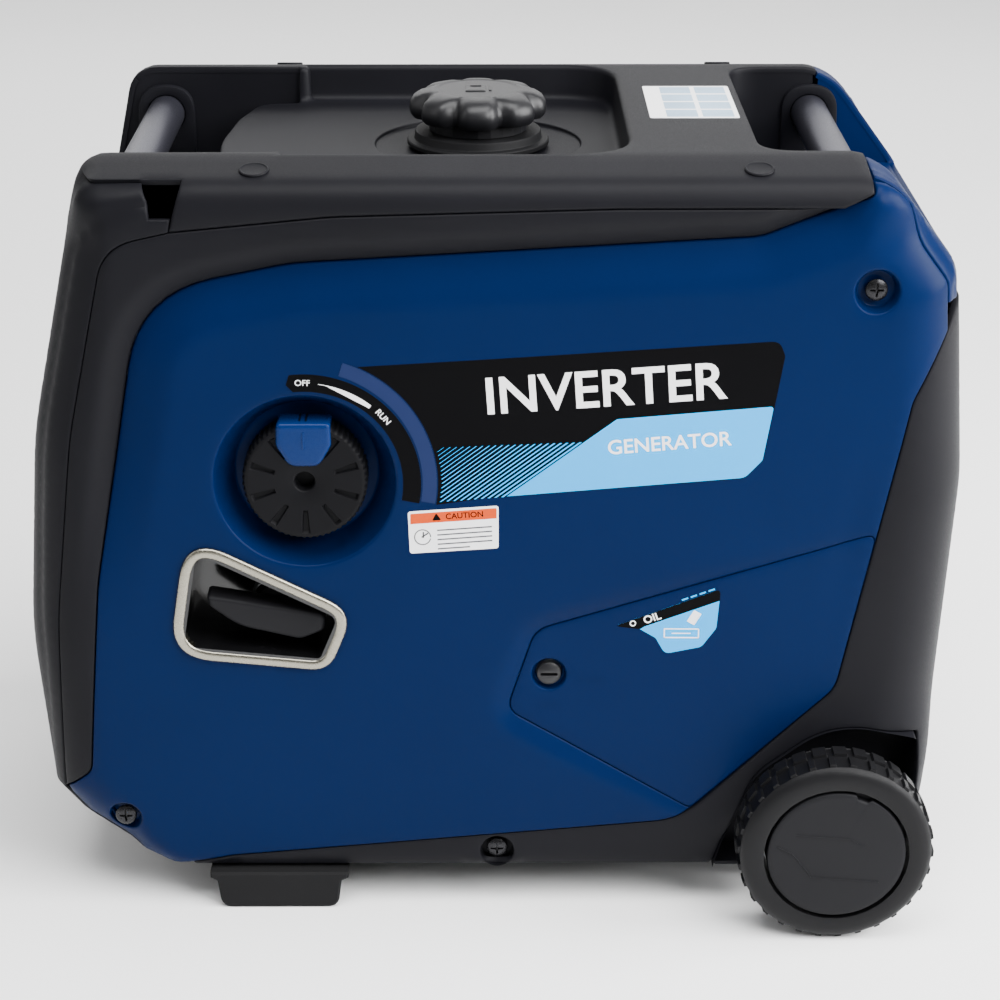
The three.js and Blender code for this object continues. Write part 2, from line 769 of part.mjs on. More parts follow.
function rearCover() {
  const outline = [
    [COVER_SEAM_X, REAR_COVER_Z, 0],
    [BEYOND_X, REAR_COVER_Z, 0],
    [BEYOND_X, BEYOND_Z, 0],
    [COVER_SEAM_X, BEYOND_Z, 0],
  ];
  const reach = COVER_SEAM_Y - GAP;
  const skin = shell.intersect(region(outline, -reach, reach));
  const walls = [-1, 1].map((side) => {
    const [low, high] = side < 0 ? [-BOSS_Y - RIB, -BOSS_Y] : [BOSS_Y, BOSS_Y + RIB];
    return region(outline, low, high).intersect(inner);
  });
  const floor = box(COVER_SEAM_X + GAP, BEYOND_X, -BOSS_Y - 2, BOSS_Y + 2, WELL_Z - WALL, WELL_Z);
  const tubeWay = bar("y", -TUBE_HALF - 2, TUBE_HALF + 2, [TUBE_REAR_X, TUBE_Z], TUBE_R + GAP, 24);
  return cut(join(skin, ...walls, floor.intersect(outer)), wellRear, tubeWay);
}

add("rear_cover", rearCover(), BLUE);

// ---------------------------------------------------------------- fuel tank and cap

function fuelTank() {
  const blank = planPrism(rectangle(-150, 78, -112, 112, 24), 376, 456);
  const hollow = planPrism(rectangle(-147, 75, -109, 109, 21), 379, 453);
  const neck = bar("z", 452, 466, [FILLER_X, 0], 27);
  const mouth = bar("z", 440, 480, [FILLER_X, 0], 24.5);
  return cut(join(blank, neck), hollow, mouth);
}

add("fuel_tank", fuelTank(), GREY);

function fillerRing() {
  const profile = [
    [29, DECK_Z + GAP],
    [46, DECK_Z + GAP],
    [46, DECK_Z + 3],
    [43, DECK_Z + 5],
    [33, DECK_Z + 5],
    [33, DECK_Z + 9],
    [29, DECK_Z + 9],
  ];
  return turned("z", profile, [FILLER_X, 0], 24);
}

add("filler_ring", fillerRing(), BLACK);

// The cap's core: a gasket disc over the neck and a stem in it.
function capCore() {
  const profile = [
    [0, 446],
    [22, 446],
    [22, DECK_Z + 9.5],
    [32, DECK_Z + 9.5],
    [32, DECK_Z + 16],
    [0, DECK_Z + 16],
  ];
  return turned("z", profile, [FILLER_X, 0], 24);
}

// The lobed grip shell over the core.
function capShell() {
  const lobes = 8;
  const outline = new THREE.Shape();
  const steps = lobes * 5;
  for (let i = 0; i < steps; i += 1) {
    const angle = (i / steps) * 2 * Math.PI;
    const notch = Math.max(0, Math.cos(lobes * angle)) ** 3 * 3.2;
    const radius = CAP_R - notch;
    const [x, y] = [radius * Math.cos(angle), radius * Math.sin(angle)];
    if (i === 0) outline.moveTo(x, y);
    else outline.lineTo(x, y);
  }
  outline.closePath();
  const grip = solid(extruded(outline, CAP_TOP_Z - 485).translate(FILLER_X, 0, 485));
  const dome = [
    [0, 480],
    [50, 480],
    [50, 495],
    [CAP_R - 2, 498.6],
    [CAP_R - 8, 501.5],
    [24, CAP_TOP_Z],
    [0, CAP_TOP_Z],
  ];
  const hollow = turned("z", [[0, 480], [36, 480], [36, 494], [0, 494]], [FILLER_X, 0]);
  const low = DECK_Z + 16 + GAP;
  const hub = turned("z", [[0, low], [14, low], [14, 496], [0, 496]], [FILLER_X, 0]);
  return join(cut(grip.intersect(turned("z", dome, [FILLER_X, 0], 48)), hollow), hub);
}

add("fuel_cap_core", capCore(), BLACK);
add("fuel_cap", capShell(), BLACK);

// ---------------------------------------------------------------- engine switch

const POINTER = [
  [DIAL_X - 13, DIAL_Z + 44, 0],
  [DIAL_X + 13, DIAL_Z + 44, 0],
  [DIAL_X + 11, DIAL_Z + 12, 9],
  [DIAL_X - 11, DIAL_Z + 12, 9],
];

function switchDial() {
  const profile = [
    [0, -150],
    [DIAL_R - 1, -150],
    [DIAL_R, -152],
    [DIAL_R, -166],
    [DIAL_R - 3, -169],
    [0, -169],
  ];
  const shaft = bar("y", -152, -120, [DIAL_X, DIAL_Z], 6, 20);
  const notch = sidePrism(POINTER, -175, -161.5);
  const dimple = bar("y", -175, -166, [DIAL_X, DIAL_Z], 4, 16);
  return cut(join(turned("y", profile, [DIAL_X, DIAL_Z], 36), shaft), notch, dimple);
}

function dialPointer() {
  const reach = bar("y", ...NEAR_SIDE, [DIAL_X, DIAL_Z], DIAL_R - 0.5, 36);
  return sidePrism(inset(POINTER, GAP), -171, -161.5 - GAP).intersect(reach);
}

function switchBody() {
  const block = sidePrism(rectangle(DIAL_X - 26, DIAL_X + 26, DIAL_Z - 24, DIAL_Z + 24, 6), -142, -104);
  const socket = bar("y", -150, -119, [DIAL_X, DIAL_Z], 6 + GAP, 20);
  return cut(block, socket);
}

add("switch_dial", switchDial(), BLACK);
add("dial_pointer", dialPointer(), BLUE);
add("switch_body", switchBody(), GREY);

// ---------------------------------------------------------------- recoil starter

const BEZEL_PROUD = 2.5;
const GRIP_X = -140;
const GRIP = [
  [-184, 227, 5],
  [-109, 208, 7],
  [-111, 196, 5],
  [-130, 192, 12],
  [-166, 207, 30],
];

function recoilBezel() {
  const low = -HALF_WIDTH - BEZEL_PROUD;
  const flange = sidePrism(RECESS, low, -HALF_WIDTH - GAP);
  const sleeve = sidePrism(inset(RECESS, 2.5 + GAP), -HALF_WIDTH - 1, -HALF_WIDTH + 7);
  return cut(join(flange, sleeve), sidePrism(inset(RECESS, 6), ...NEAR_SIDE));
}

function recoilCup() {
  const blank = sidePrism(inset(RECESS, 6 + GAP), -HALF_WIDTH - 1.5, CUP_FLOOR_Y);
  const hollow = sidePrism(inset(RECESS, 8.5), -REACH, CUP_FLOOR_Y - 2.5);
  return cut(blank, hollow, bar("y", ...NEAR_SIDE, [GRIP_X, ROPE_Z], 7, 20));
}

function recoilGrip() {
  const handle = sidePrism(GRIP, -167, -147);
  const boss = bar("y", -148, -134, [GRIP_X, ROPE_Z], 8, 20);
  return cut(join(handle, boss), bar("y", -142, -130, [GRIP_X, ROPE_Z], ROPE_R + GAP, 12));
}

function recoilRope() {
  return bar("y", -141, -2, [GRIP_X, ROPE_Z], ROPE_R, 10);
}

function recoilHousing() {
  const profile = [
    [8, -160],
    [74, -160],
    [74, -118],
    [70, -118],
    [70, -156],
    [8, -156],
  ];
  const can = turned("x", profile, [0, CRANK_Z], 24);
  const ropeWay = box(-151, -130, -90, 0, ROPE_Z - 6, ROPE_Z + 6);
  return cut(can, ropeWay);
}

function recoilReel() {
  const rim = REEL_R + 2 * ROPE_R + 2;
  const profile = [
    [6, -150],
    [rim, -150],
    [rim, -146.5],
    [REEL_R, -144],
    [REEL_R, -136],
    [rim, -133.5],
    [rim, -130],
    [6, -130],
  ];
  return turned("x", profile, [0, CRANK_Z], 24);
}

add("recoil_bezel", recoilBezel(), CHROME);
add("recoil_cup", recoilCup(), BLACK);
add("recoil_grip", recoilGrip(), RUBBER);
add("recoil_rope", recoilRope(), GREY);
add("recoil_housing", recoilHousing(), BLACK);
add("recoil_reel", recoilReel(), GREY);

// ---------------------------------------------------------------- engine and alternator

const SHAFT_R = 12;

function crankcase() {
  const block = sidePrism(
    [[-18, 62, 10], [146, 62, 10], [146, 238, 14], [-18, 238, 14]],
    -78,
    78,
  );
  const bore = bar("x", -30, 152, [0, CRANK_Z], SHAFT_R + GAP, 24);
  const sump = box(-8, 136, -62, 62, 40, 72);
  const dipstickHole = bar("y", -90, -66, [LOCK_X + 70, 118], 9 + GAP, 20);
  const legs = [-10, 124].map((x) => box(x, x + 14, -78, 78, FLOOR_Z + WALL + GAP, 70));
  return join(cut(block, bore, sump, dipstickHole), ...legs);
}

function cylinder() {
  const core = box(28, 108, 78 + GAP, 152, 158, 234);
  const fins = [];
  for (let y = 84; y < 146; y += 12) {
    fins.push(box(18, 118, y, y + 3, 148, 244));
  }
  return join(core, ...fins);
}

function stator() {
  const ring = turned("x", [[16, -104], [52, -104], [52, -66], [16, -66]], [0, CRANK_Z], 24);
  const teeth = [];
  const poles = 9;
  for (let i = 0; i < poles; i += 1) {
    const tooth = box(-102, -68, -6, 6, 48, 62);
    const moved = tooth.rotate([(i * 360) / poles, 0, 0]).translate([0, 0, CRANK_Z]);
    teeth.push(moved);
  }
  const foot = box(-66.5, -18 - GAP, -40, 40, CRANK_Z - 50, CRANK_Z + 50);
  const way = bar("x", -120, 0, [0, CRANK_Z], 16, 24);
  return cut(join(ring, ...teeth, foot), way);
}

// The bell carries the magnets, the fan and the crankshaft.
function rotor() {
  const bell = turned(
    "x",
    [[0, -116], [78, -116], [78, -70], [66, -70], [66, -108], [0, -108]],
    [0, CRANK_Z],
    24,
  );
  const shaft = bar("x", -112, 145, [0, CRANK_Z], SHAFT_R, 24);
  return join(bell, shaft);
}

function muffler() {
  const can = planPrism(rectangle(170, 256, -105, 105, 26), 160, 330);
  const hollow = planPrism(rectangle(173, 253, -102, 102), 163, 327);
  const pipe = bar("x", 248, 283, [60, 300], 18, 16);
  const bore = bar("x", 230, 300, [60, 300], 15, 16);
  const inlet = bar("x", 150, 174, [-40, 210], 14, 12);
  return cut(join(can.subtract(hollow), pipe, inlet), bore);
}

add("engine_crankcase", crankcase(), CAST);
add("engine_cylinder", cylinder(), CAST);
add("alternator_stator", stator(), STEEL);
add("alternator_rotor", rotor(), STEEL);
add("muffler", muffler(), STEEL);

function dipstick() {
  const y = -78;
  const at = [LOCK_X + 70, 118];
  const plug = bar("y", y - 24, y - GAP, at, 14, 12);
  return join(plug, bar("y", y - 2, y + 11, at, 9, 20));
}

add("oil_dipstick", dipstick(), BLACK);

function airCleaner() {
  const casing = sidePrism(rectangle(-110, 4, 252, 360, 12), 86, 150);
  const lid = sidePrism(rectangle(-106, 0, 256, 356, 10), 149, 156);
  return join(casing, lid);
}

function carburettor() {
  const body = box(-60, -22, 96, 136, 196, 236);
  const throat = bar("x", -22.5, 17, [116, 216], 12, 20);
  const bowl = bar("z", 176, 197, [-41, 116], 15, 20);
  const spout = bar("z", 235, 252 - GAP, [-41, 116], 12, 20);
  return join(body, throat, bowl, spout);
}

add("air_cleaner", airCleaner(), BLACK);
add("carburettor", carburettor(), CAST);

// ---------------------------------------------------------------- electrics

function inverterModule() {
  const base = box(-232, -206, -90, 110, 250, 400);
  const fins = [];
  for (let y = -86; y < 110; y += 24) {
    fins.push(box(-207, -180, y, y + 4, 250, 400));
  }
  return join(base, ...fins);
}

function battery() {
  const pack = planPrism(rectangle(-236, -170, -145, -15, 5), 62, 152);
  const posts = [-125, -35].map((y) => bar("z", 151, 160, [-215, y], 5, 16));
  return join(pack, ...posts);
}

add("inverter_module", inverterModule(), CAST);
add("battery", battery(), BLACK);

export default machine;
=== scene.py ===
"""Looks of a wheeled inverter generator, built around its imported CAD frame.

Lengths are millimetres in the CAD frame until make() turns them into metres. X runs from the control
panel (-) to the wheels (+), the service side with the recoil starter faces -Y, and Z is up.
"""

import json
import math

import bmesh
import bpy
import numpy as np
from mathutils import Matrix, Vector
from mathutils.geometry import delaunay_2d_cdt


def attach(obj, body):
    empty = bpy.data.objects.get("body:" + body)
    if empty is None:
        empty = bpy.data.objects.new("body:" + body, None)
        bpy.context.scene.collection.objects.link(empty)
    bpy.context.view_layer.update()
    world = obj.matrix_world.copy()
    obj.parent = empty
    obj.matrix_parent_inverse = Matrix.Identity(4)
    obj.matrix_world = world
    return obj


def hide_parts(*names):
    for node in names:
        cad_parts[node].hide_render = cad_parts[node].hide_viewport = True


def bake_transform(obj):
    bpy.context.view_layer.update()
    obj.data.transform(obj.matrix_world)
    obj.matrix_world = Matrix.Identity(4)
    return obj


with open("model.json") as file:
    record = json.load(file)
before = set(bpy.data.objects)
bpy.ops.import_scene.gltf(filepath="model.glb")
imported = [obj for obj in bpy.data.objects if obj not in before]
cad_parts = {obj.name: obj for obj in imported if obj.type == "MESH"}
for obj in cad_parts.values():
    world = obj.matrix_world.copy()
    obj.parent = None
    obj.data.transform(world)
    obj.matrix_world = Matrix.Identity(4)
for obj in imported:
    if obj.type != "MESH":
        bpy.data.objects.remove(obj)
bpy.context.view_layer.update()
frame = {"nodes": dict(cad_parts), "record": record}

MM = 0.001

# ---------------------------------------------------------------- driving dimensions

GAP = 0.3  # clearance along a seam
WALL = 4.0
HALF_WIDTH = 170.0
REAR_X = 295.0
FLOOR_Z = 26.0
RAIL_TOP_Z = 491.5
RAIL_INNER_Y = 127.0
RAIL_OUTER_Z = 482.5
WELL_Z = 424.0
COVER_SEAM_Y = 154.5
COVER_SEAM_X = 226.5
REAR_COVER_Z = 406.0
COWL_FOOT_Z = 77.5
DIAL_RIM_R = 55.5

# Centres on the service side, as (across, up).
DIAL = (-115.0, 297.0)
WHEEL = (217.0, 62.5)
LOCK = (36.0, 164.0)
ROPE = (-140.0, 208.8)

# Outlines are corners of (across, up, radius), seen square on.
SKIRT_SEAM = [(300, 433, 0), (256, 348, 30), (218, 155, 26), (122, 61, 50), (-170, 35, 0), (-208, 27, 0)]
PANEL_SEAM = [
    (-276, 81, 0), (-258, 97, 12), (-246, 228, 200), (-212, 415, 75), (-120, 434, 150),
    (160, 450, 40), (208, 469, 0),
]
COWL_SEAM = [(-278, 78, 0), (-273, 205, 300), (-258, 325, 300), (-231, 446, 35), (-191, 455, 0)]
RAIL_SEAM = [(-191, 455, 0), (-95, 464.5, 300), (75, 469, 0), (208, 469, 0)]
FRONT_CHAMFER = [(-208, 27, 0), (-230, 27, 8), (-269, 56.4, 0), (-276, 81, 8)]
OIL_DOOR = [(238.5, 262, 5), (27, 195, 18), (9, 139, 12), (128, 68, 5), (217.8, 155, 26)]
RECESS = [(-190, 263, 22), (-86, 210, 20), (-103, 169, 17), (-204, 179, 26)]
SIDE_PROFILE = [
    (-205, FLOOR_Z, 20), (-230, FLOOR_Z + 1, 8), (-269, 55.5, 0), (-287, 77, 6), (-295.5, 185, 300),
    (-285, 318, 300), (-252, 470, 60), (-238, 560, 0), (183, 560, 0), (285, 424, 24),
    (REAR_X, 288, 200), (285, 105, 200), (277, FLOOR_Z, 14),
]
SECTION = [(HALF_WIDTH, FLOOR_Z - 40, 0), (HALF_WIDTH, RAIL_OUTER_Z, 18), (RAIL_INNER_Y, RAIL_TOP_Z, 6)]
SECTION += [(-y, z, radius) for y, z, radius in SECTION[::-1]]
# Centre and rim radius of each screw well on the service side.
SCREWS = {
    "rear": (230, 418, 14.3),
    "front": (-238, 63, 11.2),
    "base": (3, 38, 10.8),
}

# ---------------------------------------------------------------- outlines


def rounded(corners, steps=8):
    """A closed outline through the corners, each rounded by its radius, as an array of points."""
    points = []
    for i, (across, up, radius) in enumerate(corners):
        corner = np.array((across, up), float)
        back = np.array(corners[i - 1][:2], float) - corner
        ahead = np.array(corners[(i + 1) % len(corners)][:2], float) - corner
        reach = min(np.linalg.norm(back), np.linalg.norm(ahead)) / 2
        back /= np.linalg.norm(back)
        ahead /= np.linalg.norm(ahead)
        half = math.acos(np.clip(back @ ahead, -1, 1)) / 2
        run = min(radius / math.tan(half), reach)
        if run < 0.05:
            points.append(corner)
            continue
        for t in np.linspace(0, 1, steps + 1):
            points.append(corner + back * run * (1 - t) ** 2 + ahead * run * t**2)
    return np.array(points)


def box_corners(left, low, right, high, radius):
    """The corners of a rectangle with one radius, for rounded()."""
    return [(left, low, radius), (right, low, radius), (right, high, radius), (left, high, radius)]


def circle(centre, radius, sides=48):
    angles = np.arange(sides) * 2 * math.pi / sides
    return np.c_[centre[0] + radius * np.cos(angles), centre[1] + radius * np.sin(angles)]


def dense(outline, step=4.0):
    """The outline with its long edges divided."""
    points = []
    for a, b in zip(outline, np.roll(outline, -1, axis=0)):
        count = max(1, math.ceil(np.linalg.norm(b - a) / step))
        points.extend(a + (b - a) * k / count for k in range(count))
    return np.array(points)


def nearest(points, spot):
    """The number of the point that lies nearest a spot."""
    return np.argmin(np.hypot(*(points - spot).T))


def area(outline):
    x, y = outline.T
    return (x * np.roll(y, -1) - y * np.roll(x, -1)).sum() / 2


def moved_in(outline, distance):
    """The outline moved inwards along its normals."""
    before = outline - np.roll(outline, 1, axis=0)
    after = np.roll(outline, -1, axis=0) - outline
    before /= np.linalg.norm(before, axis=1)[:, None] + 1e-9
    after /= np.linalg.norm(after, axis=1)[:, None] + 1e-9
    turn = before + after
    scale = 2 / np.maximum((turn**2).sum(axis=1), 0.8)
    normal = np.c_[-turn[:, 1], turn[:, 0]] * scale[:, None]
    return outline + normal * distance * np.sign(area(outline))


def depth_inside(points, outline):
    """How far each point lies inside a closed outline; negative outside."""
    nearest = np.full(len(points), 1e9)
    inside = np.zeros(len(points), bool)
    px, py = points.T
    for (ax, ay), (bx, by) in zip(outline, np.roll(outline, -1, axis=0)):
        dx, dy = bx - ax, by - ay
        t = np.clip(((px - ax) * dx + (py - ay) * dy) / (dx * dx + dy * dy + 1e-12), 0, 1)
        nearest = np.minimum(nearest, (px - ax - t * dx) ** 2 + (py - ay - t * dy) ** 2)
        if ay != by:
            crosses = (ay > py) != (by > py)
            inside ^= crosses & (px < ax + (py - ay) * dx / dy)
    distance = np.sqrt(nearest)
    return np.where(inside, distance, -distance)


def smooth(value, low, high):
    """0 below low, 1 above high, and a smooth step between; low may be the larger."""
    t = np.clip((value - low) / (high - low), 0, 1)
    return t * t * (3 - 2 * t)


# ---------------------------------------------------------------- the outer form

SIDE = rounded(SIDE_PROFILE, 12)
ACROSS = rounded(SECTION, 12)
FRONT_EDGE_R = 40.0
REAR_EDGE_R = 44.0
TOP_END_R = 17.0
BOTTOM_EDGE_R = 8.0
# Where one edge radius turns into the next, in height and in length.
TOP_BLEND = (484, 440)
FRONT_BLEND = (-200, -240)
REAR_BLEND = (180, 235)


def form(points):
    """Distance of points from the machine's outer form, negative inside, with its edges rolled."""
    x, y, z = points.T
    side = -depth_inside(np.c_[x, z], SIDE)
    section = -depth_inside(np.c_[y, z], ACROSS)
    low = smooth(z, *TOP_BLEND)
    front = smooth(x, *FRONT_BLEND)
    rear = smooth(x, *REAR_BLEND)
    roll = BOTTOM_EDGE_R
    roll = roll + front * (TOP_END_R + low * (FRONT_EDGE_R - TOP_END_R) - BOTTOM_EDGE_R)
    roll = roll + rear * (TOP_END_R + low * (REAR_EDGE_R - TOP_END_R) - BOTTOM_EDGE_R)
    corner = np.hypot(np.maximum(side + roll, 0), np.maximum(section + roll, 0))
    return np.minimum(-roll, np.maximum(side, section)) + corner


def normals(points, field):
    step = 0.5
    slopes = [field(points + step * axis) - field(points - step * axis) for axis in np.eye(3)]
    slopes = np.stack(slopes, axis=1)
    return slopes / (np.linalg.norm(slopes, axis=1)[:, None] + 1e-9)


def crossing(field, place, low, high, rounds):
    """The points where place(distance) leaves the field's form, between a low and a high distance."""
    for _ in range(rounds):
        middle = (low + high) / 2
        outside = field(place(middle[:, None])) > 0
        high = np.where(outside, middle, high)
        low = np.where(outside, low, middle)
    return place(low[:, None])


class Chart:
    """A flat drawing board that looks at the form along one direction."""

    def __init__(self, across, up, towards, reach=(60, 420), field=form):
        self.axes = np.array([across, up, towards], float)
        self.axes /= np.linalg.norm(self.axes, axis=1)[:, None]
        self.reach = reach
        self.field = field

    def flat(self, points):
        return points @ self.axes[:2].T

    def lift(self, flat):
        """The outermost point of the form over each flat point."""
        base = flat @ self.axes[:2]
        start = self.reach[0](flat) if callable(self.reach[0]) else self.reach[0]
        low = np.full(len(flat), 1.0) * start
        high = np.full(len(flat), float(self.reach[1]))
        return crossing(self.field, lambda reach: base + reach * self.axes[2], low, high, 22)


def rear_start(flat):
    """Where a ray of the rear corner's chart is sure to be inside the form."""
    x = np.clip(flat[:, 0] * math.sqrt(2) + 100, -205, 250)
    return math.sqrt(2) * x - flat[:, 0]


SIDE_CHART = Chart((1, 0, 0), (0, 0, 1), (0, -1, 0), (60, 200))
FRONT_CHART = Chart((1, -1, 0), (0, 0, 1), (-1, -1, 0), (100, 360))
REAR_CHART = Chart((1, 1, 0), (0, 0, 1), (1, -1, 0), (rear_start, 400))
PLAN_CHART = Chart((1, 0, 0), (0, 1, 0), (0, 0, 1), (380, 520))
RAIL_CHART = Chart((1, 0, 0), (0, 1, 1), (0, -1, 1), (300, 520))
TOP_REAR_CHART = Chart((0, 1, 0), (-1, 0, 1), (1, 0, 1), (300, 600))


def redrawn(outline, chart):
    """A side-view outline drawn again on another chart."""
    return chart.flat(SIDE_CHART.lift(dense(outline)))


# ---------------------------------------------------------------- meshes


class Skin:
    """Points and faces that become one mesh."""

    def __init__(self):
        self.points = np.zeros((0, 3))
        self.faces = []

    def add(self, points, faces):
        start = len(self.points)
        self.points = np.vstack([self.points, np.asarray(points, float).reshape(-1, 3)])
        self.faces.extend(tuple(int(i) + start for i in face) for face in faces)
        return self
    def join(self, other):
        """Adds another skin's points and faces to this one."""
        return self.add(other.points, other.faces)
    def mirrored(self):
        twin = Skin()
        twin.points = self.points * (1, -1, 1)
        twin.faces = [face[::-1] for face in self.faces]
        return twin


def band(low, high, count):
    """Quads between two rings of points that start at low and high. The last quad closes the rings."""
    return [(low + i, low + (i + 1) % count, high + (i + 1) % count, high + i) for i in range(count)]


ROLL = 1.3  # radius of a moulded edge


def rolled(distance, radius):
    """Depth of a rolled edge at a distance in from it."""
    short = np.clip(radius - distance, 0, radius)
    return radius - np.sqrt(np.maximum(radius**2 - short**2, 0))


def bowl(depth, lip, fillet, draft=0.06):
    """Distances in from a rim and the depths there: a rounded lip, a drafted wall and a fillet."""
    angles = np.linspace(0, math.pi / 2, 5)
    wall = lip + draft * (depth - lip - fillet)
    distances = np.r_[lip * np.sin(angles), wall + fillet * (1 - np.cos(angles))]
    depths = np.r_[lip * (1 - np.cos(angles)), depth - fillet + fillet * np.sin(angles)]
    return distances + np.arange(len(distances)) * 1e-3, depths


ROW_STEP = 0.866  # rows of a grid of even triangles
EDGE_ROOM = 0.45  # share of the spacing left free along an edge
RING_ROOM = 0.4  # and beside each ring of a feature
ON_EDGE = 0.05


def triangulated(loops, spare, inside, outside):
    """Points and triangles from loops and spare points, in every inside outline and no outside one."""
    flat = []
    edges = []
    for loop in loops:
        start = len(flat)
        flat += [Vector(p) for p in loop]
        edges += [(start + k, start + (k + 1) % len(loop)) for k in range(len(loop))]
    flat += [Vector(p) for p in spare]
    made = delaunay_2d_cdt(flat, edges, [], 0, 1e-4)
    flat = np.array([tuple(p) for p in made[0]])
    triangles = np.array([tuple(f) for f in made[2]])
    middles = flat[triangles].mean(axis=1)
    keep = np.ones(len(triangles), bool)
    for outline in inside:
        keep &= depth_inside(middles, outline) > 0
    for outline in outside:
        keep &= depth_inside(middles, outline) < 0
    return flat, triangles[keep]


def spare_points(bounds, holes, features, roll, spacing):
    """A grid of points where the bounds overlap, clear of every edge and of each feature's rings."""
    low = np.max([o.min(axis=0) for o in bounds], axis=0)
    high = np.min([o.max(axis=0) for o in bounds], axis=0)
    columns = np.arange(low[0] + spacing / 2, high[0], spacing)
    rows = np.arange(low[1] + spacing / 2, high[1], spacing * ROW_STEP)
    grid = np.array([(x + (j % 2) * spacing / 2, y) for j, y in enumerate(rows) for x in columns])
    keep = np.ones(len(grid), bool)
    for o in bounds:
        keep &= depth_inside(grid, o) > roll + spacing * EDGE_ROOM
    for o in holes:
        keep &= depth_inside(grid, o) < -roll - spacing * EDGE_ROOM
    for outline, distances, _ in features:
        within = depth_inside(grid, outline)
        for d in distances:
            keep &= np.abs(within - d) > spacing * RING_ROOM
    return grid[keep]


def open_sides(triangles):
    """The sides, as pairs of points in order, that only one triangle has."""
    sides = {}
    for a, b, c in triangles:
        for pair in ((a, b), (b, c), (c, a)):
            if pair[::-1] in sides:
                del sides[pair[::-1]]
            else:
                sides[pair] = True
    return sides


def shell(
    chart, inside, holes=(), features=(), relief=None,
    spacing=6.0, roll=ROLL, plain=(), wall=WALL, keen=None,
):
    """A moulded wall: the part of the form inside every outline and outside the holes.

    inside and holes are outlines with rolled edges, and plain outlines bound it with no roll or wall.
    features are (outline, distances, depths) sunk along the chart's direction.
    relief(flat, points) gives a further depth along the surface's normal.
    keen(points) is 1 where an edge stays sharp and 0 where it is rolled.
    """
    inside, holes, plain = ([dense(o, spacing) for o in group] for group in (inside, holes, plain))
    insets = roll * (1 - np.cos(np.linspace(0, math.pi / 2, 4)))
    loops = [moved_in(o, d) for o in inside for d in insets]
    loops += [moved_in(o, -d) for o in holes for d in insets]
    loops += plain
    for outline, distances, _ in features:
        loops += [moved_in(outline, d) for d in distances]

    bounds = inside + plain
    spare = spare_points(bounds, holes, features, roll, spacing)
    flat, triangles = triangulated(loops, spare, bounds, holes)
    used, triangles = np.unique(triangles, return_inverse=True)
    flat = flat[used]
    triangles = triangles.reshape(-1, 3)
    corners = flat[triangles]
    turn = np.cross(corners[:, 1] - corners[:, 0], corners[:, 2] - corners[:, 0])
    wrong = turn * np.linalg.det(chart.axes) < 0
    triangles[wrong] = triangles[wrong][:, ::-1]

    to_edges = [depth_inside(flat, o) for o in inside] + [-depth_inside(flat, o) for o in holes]
    edge_distance = np.maximum(np.min(to_edges, axis=0), 0)
    base = chart.lift(flat)
    out = normals(base, chart.field)
    sunk = np.zeros(len(flat))
    for outline, distances, depths in features:
        sunk += np.interp(depth_inside(flat, outline), distances, depths, left=0)
    base = base - sunk[:, None] * chart.axes[2]
    if relief is not None:
        base = base - relief(flat, base)[:, None] * out
    softened = rolled(edge_distance, roll)
    if keen is not None:
        softened = softened * (1 - keen(base))
    outer = base - softened[:, None] * out
    inner = base - wall * out

    count = len(flat)
    rim = [(a, b) for a, b in open_sides(triangles) if edge_distance[a] + edge_distance[b] < ON_EDGE]
    faces = [tuple(t) for t in triangles]
    faces += [(c + count, b + count, a + count) for a, b, c in triangles]
    faces += [(b, a, a + count, b + count) for a, b in rim]
    return Skin().add(np.vstack([outer, inner]), faces)


MATERIALS = {}


def make(name, skin, body, slot, nodes=(), sharp=38, merge=0.004, look=None):
    """Turns a skin into a piece that rides on a body and stands for nodes.

    It wears the slot's material, or the one that look names.
    """
    mesh = bpy.data.meshes.new(name)
    mesh.from_pydata([tuple(p) for p in skin.points * MM], [], skin.faces)
    edit = bmesh.new()
    edit.from_mesh(mesh)
    bmesh.ops.remove_doubles(edit, verts=edit.verts, dist=merge * MM)
    bmesh.ops.dissolve_degenerate(edit, edges=edit.edges, dist=1e-7)
    loose = [v for v in edit.verts if not v.link_faces]
    bmesh.ops.delete(edit, geom=loose, context="VERTS")
    edit.to_mesh(mesh)
    edit.free()
    mesh.polygons.foreach_set("use_smooth", [True] * len(mesh.polygons))
    mesh.set_sharp_from_angle(angle=math.radians(sharp))
    mesh.materials.append(MATERIALS[look or slot])
    piece = bpy.data.objects.new(name, mesh)
    bpy.context.scene.collection.objects.link(piece)
    if body:
        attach(piece, body)
    if nodes:
        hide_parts(*nodes)
    return piece


def clad(node, skin, body, slot, **options):
    """A piece that stands for one node."""
    return make(f"{node}_skin", skin, body, slot, [node], **options)


def both_sides(name, skin, body, slot, nodes=(), **options):
    """A piece on the service side and its mirror image. Names and bodies take near or far for a star."""
    for side, half in (("near", skin), ("far", skin.mirrored())):
        wanted = [node.replace("*", side) for node in nodes]
        make(name.replace("*", side), half, body.replace("*", side), slot, wanted, **options)


# ---------------------------------------------------------------- materials


NOISE_SPAN = (0.3, 0.7)  # the part of a noise that colours and gloss are spread over
BROAD_SCALE = 9.0
BUMP_DEPTH = 0.0004


